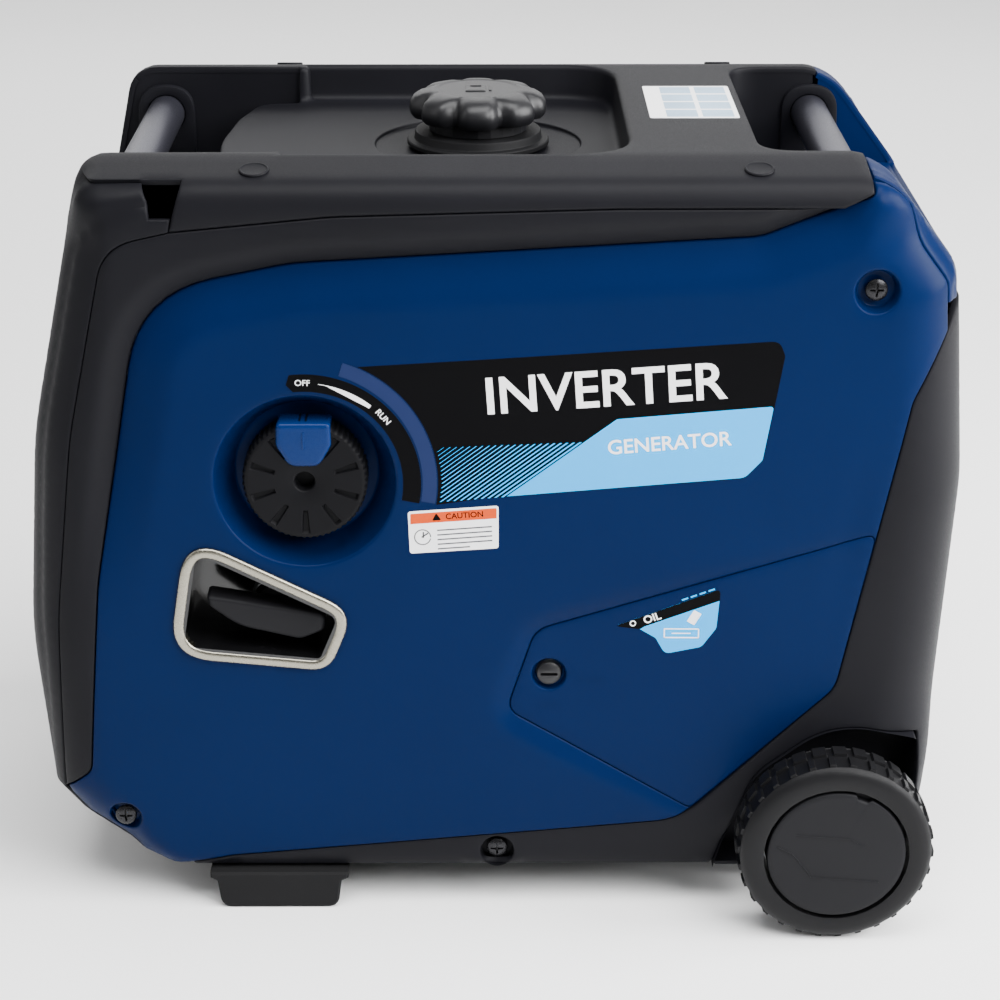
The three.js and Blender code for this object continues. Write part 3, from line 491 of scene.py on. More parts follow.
class Nodes:
    """A material's node tree, built by short calls."""

    def __init__(self, name):
        self.material = bpy.data.materials.new(name)
        self.material.use_nodes = True
        self.tree = self.material.node_tree
        self.surface = self.tree.nodes["Principled BSDF"]
        self.place = self.node("TexCoord", {}).outputs["Object"]

    def node(self, kind, values, **links):
        """A new node with its values set and the named inputs linked."""
        node = self.tree.nodes.new("ShaderNode" + kind)
        for name, value in values.items():
            node.inputs[name].default_value = value
        for name, output in links.items():
            self.tree.links.new(output, node.inputs[name])
        return node

    def set(self, values):
        for name, value in values.items():
            self.surface.inputs[name].default_value = value

    def into(self, name, output):
        self.tree.links.new(output, self.surface.inputs[name])

    def noise(self, scale, detail=2.0, roughness=0.5, stretch=None):
        place = self.place
        if stretch:
            place = self.node("Mapping", {"Scale": stretch}, Vector=place).outputs["Vector"]
        settings = {"Scale": scale, "Detail": detail, "Roughness": roughness}
        return self.node("TexNoise", settings, Vector=place).outputs["Fac"]

    def between(self, value, low, high):
        start, end = NOISE_SPAN
        settings = {"From Min": start, "From Max": end, "To Min": low, "To Max": high}
        return self.node("MapRange", settings, Value=value).outputs["Result"]

    def colours(self, value, low, high):
        node = self.node("ValToRGB", {}, Fac=value)
        for element, position, colour in zip(node.color_ramp.elements, NOISE_SPAN, (low, high)):
            element.position = position
            element.color = (*colour, 1)
        return node.outputs["Color"]

    def bump(self, height, strength, distance):
        settings = {"Strength": strength, "Distance": distance}
        self.into("Normal", self.node("Bump", settings, Height=height).outputs["Normal"])


def tint(colour, factor):
    return tuple(min(1.0, c * factor) for c in colour)


def surface(
    name, colour, rough, grain, strength,
    metal=0.0, spread=0.08, variation=0.1, shine=0.08, stretch=None,
):
    """A material with fine grain as bump, and soft changes of colour and gloss."""
    nodes = Nodes(name)
    nodes.set({"Metallic": metal, "Specular IOR Level": 0.5 if metal else shine})
    broad = nodes.noise(BROAD_SCALE, 3.0)
    fine = nodes.noise(grain, 2.0, 0.6, stretch)
    darker, lighter = tint(colour, 1 - variation), tint(colour, 1 + variation)
    nodes.into("Base Color", nodes.colours(broad, darker, lighter))
    nodes.into("Roughness", nodes.between(fine, rough - spread, rough + spread))
    nodes.bump(fine, strength, BUMP_DEPTH)
    MATERIALS[name] = nodes.material


surface("body_blue", (0.0003, 0.0068, 0.0385), 0.36, 1500, 0.10, variation=0.04, shine=0.05)
surface("pointer_blue", (0.0006, 0.0130, 0.0740), 0.28, 1500, 0.05, variation=0.04, shine=0.12)
# The switch dial shares the fuel cap's black. This darker, less glossy copy is painted shade on the
# dial's side-facing face.
surface("dial_black_painted_shade", (0.0040, 0.0040, 0.0048), 0.50, 1500, 0.12, shine=0.06)
surface("body_black", (0.0048, 0.0048, 0.0064), 0.50, 1500, 0.16)
surface("panel_black", (0.0060, 0.0060, 0.0066), 0.55, 1300, 0.12)
surface("cap_black", (0.0055, 0.0055, 0.0066), 0.38, 1700, 0.10, shine=0.3)
surface("tank_plastic", (0.05, 0.05, 0.055), 0.5, 900, 0.1)
surface("hub_plastic", (0.0080, 0.0080, 0.0092), 0.48, 1400, 0.15)
surface("battery_plastic", (0.02, 0.02, 0.022), 0.3, 1200, 0.05)
surface("display_lens", (0.03, 0.035, 0.04), 0.12, 800, 0.02, spread=0.03)
surface("rubber", (0.0085, 0.0085, 0.0090), 0.72, 1100, 0.25)
surface("tyre", (0.0040, 0.0040, 0.0046), 0.46, 900, 0.15, shine=0.12)
surface("gloss_black", (0.0030, 0.0030, 0.0034), 0.16, 900, 0.02, spread=0.04, shine=0.5)
surface("rope", (0.05, 0.05, 0.05), 0.8, 1600, 0.6, stretch=(1, 1, 0.3))
surface("tube_grey", (0.06, 0.06, 0.078), 0.36, 1300, 0.12, metal=0.85)
surface("chrome", (0.26, 0.245, 0.20), 0.26, 700, 0.02, metal=1.0, spread=0.04, variation=0.03)
surface("steel", (0.45, 0.45, 0.47), 0.32, 500, 0.08, metal=1.0, stretch=(1, 1, 12))
surface("screw_black", (0.018, 0.018, 0.020), 0.30, 900, 0.1, metal=0.8)
surface("laminated_steel", (0.25, 0.25, 0.27), 0.4, 400, 0.2, metal=0.9, stretch=(30, 1, 1))
surface("cast_alloy", (0.42, 0.43, 0.44), 0.55, 700, 0.5, metal=0.8)

FILM = {"rough": 0.4, "grain": 900, "strength": 0.02}
surface("film_black", (0.0018, 0.0018, 0.0022), shine=0.03, **FILM)
surface("film_white", (0.85, 0.85, 0.86), variation=0.03, **FILM)
surface("film_cyan", (0.0, 0.34, 0.80), variation=0.03, **FILM)
surface("film_blue", (0.008, 0.016, 0.060), variation=0.03, **FILM)
surface("film_orange", (0.55, 0.06, 0.008), variation=0.03, **FILM)
surface("film_grey", (0.07, 0.07, 0.075), **FILM)
surface("film_cells", (0.30, 0.42, 0.55), 0.4, 260, 0.02, variation=0.25)

# ---------------------------------------------------------------- camera and light

camera = bpy.data.objects.new("camera", bpy.data.cameras.new("camera"))
bpy.context.scene.collection.objects.link(camera)
camera.location = (-0.0026, -1.5957, 0.8612)
camera.rotation_euler = (math.radians(68), 0, math.radians(-0.3))
camera.data.lens = 90
camera.data.sensor_width = 36
bpy.context.scene.camera = camera

world = bpy.data.worlds.new("studio")
bpy.context.scene.world = world
world.use_nodes = True
world.node_tree.nodes["Background"].inputs["Color"].default_value = (1, 1, 1, 1)
world.node_tree.nodes["Background"].inputs["Strength"].default_value = 0.38


def softbox(name, place, aim, size, power):
    data = bpy.data.lights.new(name, "AREA")
    data.shape = "RECTANGLE"
    data.size, data.size_y = size
    data.energy = power
    lamp = bpy.data.objects.new(name, data)
    lamp.location = place
    lamp.rotation_euler = (Vector(aim) - Vector(place)).to_track_quat("-Z", "Y").to_euler()
    bpy.context.scene.collection.objects.link(lamp)


MIDDLE = (0, 0, 0.25)
softbox("softbox_top", (0.2, -0.55, 2.2), MIDDLE, (2.2, 1.2), 92)
softbox("softbox_left", (-2.2, -0.7, 1.5), MIDDLE, (1.0, 1.8), 10)
softbox("softbox_right", (2.4, -0.3, 1.2), MIDDLE, (1.4, 1.8), 150)
softbox("softbox_front", (1.0, -1.1, 1.25), MIDDLE, (0.9, 0.9), 44)
softbox("softbox_back", (0.1, 2.4, 1.25), MIDDLE, (3.0, 1.3), 14)
softbox("softbox_floor", (0.0, 3.0, 2.6), (0.0, 3.0, 0.0), (5.0, 2.0), 90)

# The frame's own pieces wear their slot's material, with fine bevels on their edges.
GLOSSY = ("recoil_cup",)
for part in frame["record"]["subparts"]:
    solid = frame["nodes"][part["node"]]
    look = "gloss_black" if part["node"] in GLOSSY else part["material_slot"]
    solid.data.materials.clear()
    solid.data.materials.append(MATERIALS[look])
    edges = solid.modifiers.new("soft_edges", "BEVEL")
    edges.width = 0.5 * MM
    edges.segments = 2
    edges.angle_limit = math.radians(40)

# ---------------------------------------------------------------- side panels

BEYOND = 330.0
PANEL_OUTLINE = rounded(
    PANEL_SEAM
    + [(COVER_SEAM_X, 478, 5), (COVER_SEAM_X, 520, 0), (BEYOND, 520, 0), (BEYOND, 433, 0)]
    + SKIRT_SEAM[:-1]
    + FRONT_CHAMFER[:-1]
)
DOOR = rounded(OIL_DOOR)
TRIM_OUTLINE = rounded(COWL_SEAM[:-1] + RAIL_SEAM + PANEL_SEAM[:-1][::-1])


def side_limit(y):
    """Where the form's surface comes to the plane y, as a side-view outline."""
    far = dense(SIDE, 6)
    near = moved_in(far, 120)

    def place(share):
        at = near + (far - near) * share
        return np.c_[at[:, 0], np.full(len(at), y), at[:, 1]]

    return crossing(form, place, np.zeros(len(far)), np.ones(len(far)), 20)[:, [0, 2]]


PANEL_LIMIT = side_limit(-COVER_SEAM_Y)
PANEL_EDGE = moved_in(dense(PANEL_OUTLINE, 5), GAP)
SEAM_DEPTH = 9.0
LOW_SEAM_DEPTH = 0.4
LEAN_WIDTH = 27.0
SEAM_HEIGHTS = (190, 330)  # the lean grows between these heights
SEAM_REAR = (234, 206)  # and fades out towards the rear


def seam_sink(distance, width, flat):
    """The surface leans in to the panel's upper seams over a width, and hardly to the others."""
    upper = smooth(flat[:, 1], *SEAM_HEIGHTS) * smooth(flat[:, 0], *SEAM_REAR)
    depth = LOW_SEAM_DEPTH + (SEAM_DEPTH - LOW_SEAM_DEPTH) * upper
    return depth * np.clip(1 - distance / width, 0, 1) ** 1.1


DOOR_DEPTH = 4.4
DOOR_REAR_X = 240.0
DOOR_TAPER = 200.0


def towards_tip(flat):
    """0 at the oil cover's rear end and 1 at its pointed front end."""
    return np.clip((DOOR_REAR_X - flat[:, 0]) / DOOR_TAPER, 0, 1)


def door_depth(flat):
    """The oil cover sits deeper towards its pointed front end."""
    return DOOR_DEPTH * towards_tip(flat)


def plain_relief(flat, points):
    """The leaning bands along the panel's seams."""
    return seam_sink(depth_inside(flat, PANEL_OUTLINE), LEAN_WIDTH, flat)


def panel_relief(flat, points):
    """The leaning bands and the slope down to the oil cover."""
    slope = smooth(-depth_inside(flat, DOOR), 3 + 9 * towards_tip(flat), 0)
    return plain_relief(flat, points) + door_depth(flat) * slope


def screw_bowl(name, lip=2.0):
    x, z, radius = SCREWS[name]
    return circle((x, z), radius + 1), *bowl(9, lip, 1.5, 0.25)


def side_panel_near():
    dial_bowl = (circle(DIAL, DIAL_RIM_R + 2.5, 72), *bowl(24, 2.5, 2.0, 0.5))
    features = [dial_bowl, screw_bowl("rear"), screw_bowl("front", 1.6)]
    holes = [moved_in(rounded(RECESS), 2.5), DOOR]
    return shell(SIDE_CHART, [PANEL_EDGE, PANEL_LIMIT], holes, features, panel_relief)


def side_panel_far():
    vents = []
    for x in range(-120, 21, 28):
        vents.append(rounded(box_corners(x, 160, x + 12, 300, 5)))
    features = [screw_bowl("rear"), screw_bowl("front", 1.6)]
    return shell(SIDE_CHART, [PANEL_EDGE, PANEL_LIMIT], vents, features, plain_relief).mirrored()


clad("side_panel_near", side_panel_near(), "machine", "body_blue")
clad("side_panel_far", side_panel_far(), "machine", "body_blue")


def oil_cover():
    def relief(flat, points):
        return door_depth(flat) + plain_relief(flat, points)

    lock_bowl = (circle(LOCK, 12), *bowl(4.5, 1.2, 0.8, 0.3))
    edge = moved_in(dense(DOOR, 4), GAP)
    return shell(SIDE_CHART, [edge], [circle(LOCK, 8.4, 32)], [lock_bowl], relief, 5, 0.9, wall=2.5)


clad("oil_cover", oil_cover(), "oil_door", "body_blue")


def arch_trim():
    def relief(flat, points):
        return seam_sink(-depth_inside(flat, PANEL_OUTLINE), 14, flat)

    edge = moved_in(dense(TRIM_OUTLINE, 5), GAP)
    return shell(SIDE_CHART, [edge, PANEL_LIMIT], relief=relief, spacing=5)


both_sides("arch_trim_*_skin", arch_trim(), "machine", "body_black", ["arch_trim_*"])

# ---------------------------------------------------------------- front cowl

NOTCH = [(-189.5, 463, 0), (-202, 463, 0), (-203, 474, 4), (-206.5, 484.5, 0)]
COWL_STEP = 2.6
COWL_RIDGE = 2.0
RIDGE_HALF = 7.0


def cowl_relief(flat, points):
    """A flange along the trim, then a step and a soft ridge where the bulged front begins."""
    side_view = points[:, [0, 2]]
    across = -depth_inside(side_view, TRIM_OUTLINE)
    width = 8 + 8 * smooth(points[:, 2], 120, 330)
    step = smooth(across, width, width + 1.6)
    ridge = np.exp(-(((across - width - 9) / RIDGE_HALF) ** 2))
    on_side = smooth(points[:, 1], -135, -150)
    return on_side * step * (COWL_STEP - COWL_RIDGE * ridge)


LIP_Z = 484.65  # lowest edge of the top cover round the front


def front_lip(points):
    """1 along the hidden seam between the nose and the top cover."""
    x, y, z = points.T
    low = smooth(np.abs(z - LIP_Z), 4, 3)
    return low * smooth(x, -203, -208) * smooth(np.abs(y), 116, 120)


NOSE_CHART = Chart((0, -1, 0), (0, 0, 1), (-1, 0, 0), (150, 330))
TAIL_CHART = Chart((0, 1, 0), (0, 0, 1), (1, 0, 0), (150, 330))


def middle_line(chart, end_chart, low, high, far):
    """A plain boundary on a corner chart where the form crosses the middle plane."""
    heights = np.arange(low, high, 6.0)
    line = chart.flat(end_chart.lift(np.c_[0 * heights, heights]))
    return np.vstack([line, [(far, heights[-1]), (far, heights[0])]])


def onto(chart, end_chart, corners):
    """An outline drawn on the nose or the tail, seen again on a corner chart."""
    return chart.flat(end_chart.lift(dense(rounded(corners))))


def sleeve(corners, thickness, back_x):
    """A wall along X round an opening in the nose, from under the skin back to a plane."""
    inner = dense(rounded(corners), 12)
    outer = moved_in(inner, -thickness)
    count = len(inner)
    front = NOSE_CHART.lift(inner * (-1, 1))[:, 0] + 2
    rings = [(inner, back_x), (outer, back_x), (outer, front), (inner, front)]
    points = [np.c_[np.zeros(count) + x, ring] for ring, x in rings]
    faces = []
    for k in range(4):
        for i in range(count):
            j = (i + 1) % count
            a, b = k * count, ((k + 1) % 4) * count
            faces.append((a + i, b + i, b + j, a + j))
    return Skin().add(np.vstack(points), faces)


WINDOW = box_corners(-128, 92, 128, 392, 12)
FRONT_WELL = [(-118, WELL_Z, 10), (118, WELL_Z, 10), (118, 488, 0), (-118, 488, 0)]
CONTROL_PANEL_X = -259.0


def front_cowl():
    curve = rounded(COWL_SEAM + NOTCH, 8)
    curve = dense(np.roll(curve, -nearest(curve, COWL_SEAM[0][:2]), axis=0), 3)
    top = NOTCH[-1][:2]
    seam = FRONT_CHART.flat(SIDE_CHART.lift(curve))[: nearest(curve, top) + 1]
    left = -320.0
    outline = np.vstack([seam, [(left, top[1]), (left, COWL_FOOT_Z)]])
    limit = middle_line(FRONT_CHART, NOSE_CHART, 60, 500, 100)
    holes = [onto(FRONT_CHART, NOSE_CHART, corners) for corners in (WINDOW, FRONT_WELL)]
    half = shell(
        FRONT_CHART, [outline], holes, relief=cowl_relief, plain=[limit], spacing=5, keen=front_lip
    )
    return half.join(half.mirrored()).join(sleeve(WINDOW, 2.5, CONTROL_PANEL_X))


clad("front_cowl", front_cowl(), "machine", "body_black")

# ---------------------------------------------------------------- base

ARCH = [(138, 10, 0), (149, 48, 30), (168, 95, 45), (217, 133, 60), (271, 122, 3), (271, 10, 0)]
ARCH_DEPTH_Y = 144.0
EXHAUST = box_corners(-118, 135, 118, 372, 14)
SKIRT_TOP = (286, 405.5)
SKIRT_TIP = (-192, 30)
FLARE = 7.0


def base_relief(flat, points):
    """The skirt leans out towards the wheel and in towards the side panel."""
    side_view = points[:, [0, 2]]
    arch = -depth_inside(side_view, rounded(ARCH))
    on_side = smooth(points[:, 1], -120, -165)
    from_panel = -depth_inside(side_view, PANEL_OUTLINE)
    height = points[:, 2]
    flare = -FLARE * on_side * smooth(arch, 45, 0) * smooth(from_panel, 2, 26)
    flare = flare * smooth(height, 160, 90) * smooth(height, 30, 75)
    seam = seam_sink(from_panel, 12, side_view)
    return flare + on_side * seam


def cup(centre, radius, low_y, high_y, sides=48):
    """The inside of a round well on the service side: a wall and a floor."""
    wall = circle(centre, radius, sides)
    floor = circle(centre, radius - 1.2, sides)
    rings = [(wall, low_y), (wall, high_y - 1), (floor, high_y)]
    points = [np.c_[ring[:, 0], np.full(sides, y), ring[:, 1]] for ring, y in rings]
    faces = band(0, sides, sides) + band(sides, 2 * sides, sides)
    faces.append(tuple(2 * sides + i for i in range(sides)))
    return Skin().add(np.vstack(points), faces)


def arch_liner():
    """The wheel housing: the wall along the arch and the inner wall."""
    line = dense(rounded(ARCH, 12), 5)
    line = line[line[:, 1] > FLOOR_Z + 0.5]
    line = np.roll(line, -nearest(line, (144, 30)), axis=0)
    count = len(line)
    sides = (-HALF_WIDTH - 4, -ARCH_DEPTH_Y)
    points = np.vstack([np.c_[line[:, 0], np.full(count, y), line[:, 1]] for y in sides])
    faces = band(0, count, count)[:-1]
    faces.append(tuple(count + i for i in range(count)))
    return Skin().add(points, faces)


def base_shell():
    ring = dense(rounded([(*SKIRT_TOP, 0)] + SKIRT_SEAM[1:-1] + [(*SKIRT_TIP, 0)]))
    seam = REAR_CHART.flat(SIDE_CHART.lift(ring[: nearest(ring, SKIRT_TIP) + 1]))
    sill = FLOOR_Z + 0.8
    outline = np.vstack([seam, [(seam[-1][0], sill), (BEYOND, sill), (BEYOND, SKIRT_TOP[1])]])
    limit = middle_line(REAR_CHART, TAIL_CHART, 20, 420, -300)
    low = FLOOR_Z + 1.6
    arch = redrawn(rounded([(143, low, 0)] + ARCH[1:-1] + [(271, low, 0)]), REAR_CHART)
    arch[arch[:, 1] < low + 0.1, 1] = ARCH[0][1]
    x, z, radius = SCREWS["base"]
    well = redrawn(circle((x, z), radius), REAR_CHART)
    holes = [arch, onto(REAR_CHART, TAIL_CHART, EXHAUST), well]
    half = shell(REAR_CHART, [outline], holes, relief=base_relief, plain=[limit])
    half.join(cup((x, z), radius + 0.3, -HALF_WIDTH + 1, -HALF_WIDTH + 9)).join(arch_liner())
    return half.join(half.mirrored())


clad("base_shell", base_shell(), "machine", "body_black")

CHIN_CHART = Chart((0, -1, 0), (-1, 0, 1), (-1, 0, -1), (60, 420))
CHIN_REAR_X = -196.0


def chin():
    """The underside of the nose, between the side panels."""
    half = COVER_SEAM_Y - GAP
    y = np.linspace(-half, half, 60)
    top = CHIN_CHART.flat(NOSE_CHART.lift(np.c_[-y, np.full(60, COWL_FOOT_Z - 0.7)]))
    foot = CHIN_CHART.flat(np.array([(CHIN_REAR_X, side * half, FLOOR_Z) for side in (1, -1)]))
    return shell(CHIN_CHART, [np.vstack([top, foot])])


make("chin_skin", chin(), "machine", "body_black")

# ---------------------------------------------------------------- top and rear covers

SPLIT_Y = 138.0
SQRT2 = math.sqrt(2)
FRONT_BAY = [
    (-330, -119, 0), (-131, -119, 3), (-133, -112, 3), (-159, -110, 30), (-170, -64, 60), (-176, 0, 200),
]
FRONT_BAY += [(x, -y, r) for x, y, r in FRONT_BAY[-2::-1]]
REAR_BAY_Y = 117.0
REAR_BAY = [(163, -REAR_BAY_Y, 24), (330, -REAR_BAY_Y, 0), (330, REAR_BAY_Y, 0), (163, REAR_BAY_Y, 24)]
BAY_GAP = 0.25
RECESS_TOP = [
    (-129, -127, 4), (88, -127, 45), (88, 127, 45), (-129, 127, 4),
    (-129, 119.6, 1), (-240, 119.6, 0), (-240, -119.6, 0), (-129, -119.6, 1),
]
FILLER = (-8.5, 0.0)
DISH_R = 68.0
FRONT_WELL_X = -259.0


def contour(height, start, end, count=60):
    """Where the form crosses a height, between two directions from the middle, in radians."""
    angles = np.linspace(start, end, count)
    rays = np.c_[np.cos(angles), np.sin(angles), np.zeros(count)]
    low, high = np.full(count, 20.0), np.full(count, 400.0)
    return crossing(form, lambda reach: rays * reach + (0, 0, height), low, high, 24)


TOP_FEATURES = [
    (rounded(RECESS_TOP, 10), *bowl(23.5, 3.5, 4.5)),
    (circle(FILLER, DISH_R, 96), *bowl(2.5, 1.2, 1.2, 0.2)),
]


def sunk_depth(flat):
    """Depth of the top's recess at flat points."""
    outline, distances, depths = TOP_FEATURES[0]
    return np.interp(depth_inside(flat, outline), distances, depths, left=0)


def well_wall(path, flip):
    """The wall of a handle well, from under the cover's edge down to its floor."""
    top = PLAN_CHART.lift(path)[:, 2] - sunk_depth(path) - 2
    count = len(path)
    points = np.vstack([np.c_[path, np.maximum(top, WELL_Z + 0.2)], np.c_[path, np.full(count, WELL_Z)]])
    faces = band(0, count, count)[:-1]
    return Skin().add(points, [face[::-1] if flip else face for face in faces])


def between_x(outline, low, high):
    """The run of an outline's points that lies between two X, in order."""
    outline = dense(outline, 4)
    inside = (outline[:, 0] > low) & (outline[:, 0] < high)
    start = int(np.argmax(inside & ~np.roll(inside, 1)))
    outline = np.roll(outline, -start, axis=0)
    return outline[np.roll(inside, -start)]


def well_floor(bay, low, high):
    """The floor of a handle well, between two X."""
    path = between_x(moved_in(bay, -BAY_GAP), low, high)
    return Skin().add(np.c_[path, np.full(len(path), WELL_Z)], [tuple(range(len(path)))])


def top_cover():
    rear_x = COVER_SEAM_X - 1
    front = contour(LIP_Z, math.radians(145), math.radians(215), 90)[:, :2]
    outline = np.vstack([front, [(rear_x, -160), (rear_x, 160)]])
    x = np.linspace(-BEYOND, BEYOND, 133)
    limit = np.vstack([np.c_[x, 0 * x - SPLIT_Y], np.c_[x[::-1], 0 * x + SPLIT_Y]])
    bays = [rounded(FRONT_BAY, 10), rounded(REAR_BAY, 10)]
    skin = shell(PLAN_CHART, [outline], bays, TOP_FEATURES, plain=[limit], roll=1.8, keen=front_lip)

    rear_top = (rear_x, 486)
    curve = dense(rounded([(-183, LIP_Z, 0)] + RAIL_SEAM + [(rear_x, 478, 0), (*rear_top, 0)]))
    seam = SIDE_CHART.lift(curve[: nearest(curve, rear_top) + 1])
    turn = math.atan2(seam[0, 1], seam[0, 0]) + 2 * math.pi
    nose = RAIL_CHART.flat(contour(LIP_Z, math.radians(200), turn))
    edge = np.vstack([RAIL_CHART.flat(seam), [(rear_x, 300), (-260, 300)], nose[:-1]])
    split = RAIL_CHART.flat(PLAN_CHART.lift(np.c_[x, 0 * x - SPLIT_Y]))
    below = np.vstack([split, [(BEYOND, 100), (-BEYOND, 100)]])
    rail = shell(RAIL_CHART, [edge], plain=[below], roll=1.8, spacing=5, keen=front_lip)
    skin.join(rail).join(rail.mirrored())

    for bay, low, high in ((bays[0], FRONT_WELL_X - 2.5, 0), (bays[1], 0, COVER_SEAM_X - 0.6)):
        skin.join(well_wall(between_x(moved_in(bay, -BAY_GAP), low, high), True))
    return skin.join(well_floor(bays[0], FRONT_WELL_X, 0))


clad("top_cover", top_cover(), "machine", "body_black", merge=0.02)


HORN_RIDGE_Y = 146.0


def rear_relief(flat, points):
    """A fine groove that follows the outer edge of each horn, and a step inside it."""
    across = np.abs(points[:, 1])
    groove = np.exp(-(((across - HORN_RIDGE_Y) / 1.5) ** 2))
    return 1.4 * groove + 1.3 * smooth(across, HORN_RIDGE_Y - 1, HORN_RIDGE_Y - 8)


def rear_cover():
    half = COVER_SEAM_Y - GAP
    y = np.linspace(-half, half, 90)
    top = TOP_REAR_CHART.flat(PLAN_CHART.lift(np.c_[np.full(90, COVER_SEAM_X + GAP), y]))
    low = TOP_REAR_CHART.flat(TAIL_CHART.lift(np.c_[y, np.full(90, REAR_COVER_Z + GAP)]))
    tail = TAIL_CHART.lift(np.array([(0, WELL_Z)]))[0, 0]
    sill = (WELL_Z - tail) / SQRT2
    well = [(-REAR_BAY_Y, sill, 8), (REAR_BAY_Y, sill, 8), (REAR_BAY_Y, 300, 0), (-REAR_BAY_Y, 300, 0)]
    edge = np.vstack([top, low[::-1]])
    skin = shell(TOP_REAR_CHART, [edge], [rounded(well)], relief=rear_relief, spacing=5)
    x = np.linspace(COVER_SEAM_X, tail - 1, 20)
    for side in (-1, 1):
        skin.join(well_wall(np.c_[x, np.full(20, side * (REAR_BAY_Y + BAY_GAP))], side < 0))
    return skin.join(well_floor(rounded(REAR_BAY, 10), 0, tail - 2))


clad("rear_cover", rear_cover(), "machine", "body_blue")

# ---------------------------------------------------------------- prisms and turned pieces

NEAR = SIDE_CHART.axes
FAR = np.array([(-1, 0, 0), (0, 0, 1), (0, 1, 0)], float)
PLAN = PLAN_CHART.axes


def prism(outline, levels, board, holes=()):
    """A solid with a flat section. At each (inset, height) the outline moves in and the holes open."""
    loops = [outline if area(outline) > 0 else outline[::-1]]
    loops += [hole if area(hole) < 0 else hole[::-1] for hole in holes]
    count = sum(len(loop) for loop in loops)
    rings = []
    faces = []
    for number, (inset, height) in enumerate(levels):
        start = number * count
        for k, loop in enumerate(loops):
            moved = moved_in(loop, -inset if k else inset)
            rings.append(np.c_[moved, np.full(len(moved), height)])
            if number < len(levels) - 1:
                faces += band(start, start + count, len(loop))
            start += len(loop)
    skin = Skin().add(np.vstack(rings), faces)
    for (inset, height), turn in ((levels[0], -1), (levels[-1], 1)):
        bounds = [moved_in(loop, -inset if k else inset) for k, loop in enumerate(loops)]
        flat, triangles = triangulated(bounds, [], bounds[:1], bounds[1:])
        skin.add(np.c_[flat, np.full(len(flat), height)], triangles[:, ::turn])
    skin.points = skin.points @ board
    return skin


def turned(profile, board, centre, sides=64, shape=None, angles=None):
    """A solid turned about the board's third axis. Its (radius, height) profile runs outwards, then up.

    shape(angles, radius, height) gives the radius and height at each angle.
    """
    angles = np.arange(sides) * 2 * math.pi / sides if angles is None else angles
    count = len(angles)
    rings = []
    faces = []
    for k, (radius, height) in enumerate(profile):
        radii = np.full(count, float(radius))
        heights = np.full(count, float(height))
        if shape and radius > 0:
            radii, heights = shape(angles, radii, heights)
        rings.append(np.c_[radii * np.cos(angles), radii * np.sin(angles), heights])
        if k:
            faces += band((k - 1) * count, k * count, count)
    points = np.vstack(rings) + (centre[0], centre[1], 0)
    return Skin().add(points @ board, faces)


def soft(low, high, edge=0.8):
    """Levels of a prism with a rounded upper edge."""
    return [(0, low), (0, high - edge), (0.3 * edge, high - 0.3 * edge), (edge, high)]


# ---------------------------------------------------------------- floor and tray

# The pale floor curves up into a backdrop all round. Its rings are in metres, from the outside in.
FLOOR_RINGS = [(10.2, 6.0), (10.0, 2.5), (9.0, 0.6), (7.0, 0.0), (4.0, 0.0), (1.5, 0.0), (0.0, 0.0)]
pale = Nodes("floor_white")
pale.set({"Roughness": 0.9})
pale.into("Base Color", pale.colours(pale.noise(1.5), (0.93,) * 3, (0.95,) * 3))
MATERIALS["floor_white"] = pale.material
floor = turned([(radius / MM, height / MM) for radius, height in FLOOR_RINGS], PLAN, (0, 0), 48)
make("floor", floor, None, "floor_white", sharp=180)

# The tray closes the base from below.
TRAY = [(-196, -158, 4), (142, -158, 2), (145, -168, 2), (163, -168, 6), (166, -143, 2), (264, -143, 4)]
TRAY += [(x, -y, r) for x, y, r in TRAY[::-1]]
tray = prism(rounded(TRAY), [(1.0, 26.4), (0, 27.2), (0, 29.5)], PLAN)
make("base_floor_skin", tray, "machine", "body_black")

# ---------------------------------------------------------------- handles and top pieces

TUBE_Z = 460.0
TUBE_R = 12.5
TUBE_HALF = 138.0
TUBE_XS = {"front": -225.0, "rear": 221.0}
BOSS_R = 19.5
ALONG_Y = np.array([(0, 0, 1), (1, 0, 0), (0, 1, 0)], float)
for end, x in TUBE_XS.items():
    profile = [(0, -TUBE_HALF), (TUBE_R, -TUBE_HALF), (TUBE_R, TUBE_HALF), (0, TUBE_HALF)]
    clad(f"handle_tube_{end}", turned(profile, ALONG_Y, (TUBE_Z, x), 72), "machine", "tube_grey")
    left, right = -x + BOSS_R, -x - BOSS_R
    foot, top = WELL_Z + 0.5, TUBE_Z + BOSS_R
    plate = rounded([(left, foot, 0), (right, foot, 0), (right, top, 19), (left, top, 19)])
    levels = [(0, -118.6), (0, -114.6), (0.5, -113.8), (1.6, -113.5)]
    boss = prism(plate, levels, FAR, [circle((-x, TUBE_Z), TUBE_R + 0.3)])
    both_sides(f"handle_boss_{end}_*", boss, "machine", "body_black")

PLUG_XS = {"front": -141.0, "rear": 159.0}
PLUG_Y = 148.0
for end, x in PLUG_XS.items():
    spot = PLAN_CHART.lift(np.array([(x, -PLUG_Y)]))
    out = normals(spot, form)[0]
    board = np.array([(1, 0, 0), np.cross(out, (1, 0, 0)), out])
    profile = [(0, -1), (9, -1), (9, 0.8), (8.6, 1.3), (8, 1.4), (7.4, 1.0), (7, 0.9), (0, 1.2)]
    plug = turned(profile, board, (0, 0), 48)
    plug.points = plug.points + spot[0]
    both_sides(f"rail_plug_*_{end}_skin", plug, "machine", "body_black", [f"rail_plug_*_{end}"])

CAP_LOBES = 8
CAP_FACE_R = 27.0
LOBE_LENGTH = 15.0
LOBE_NOTCH = 6.0


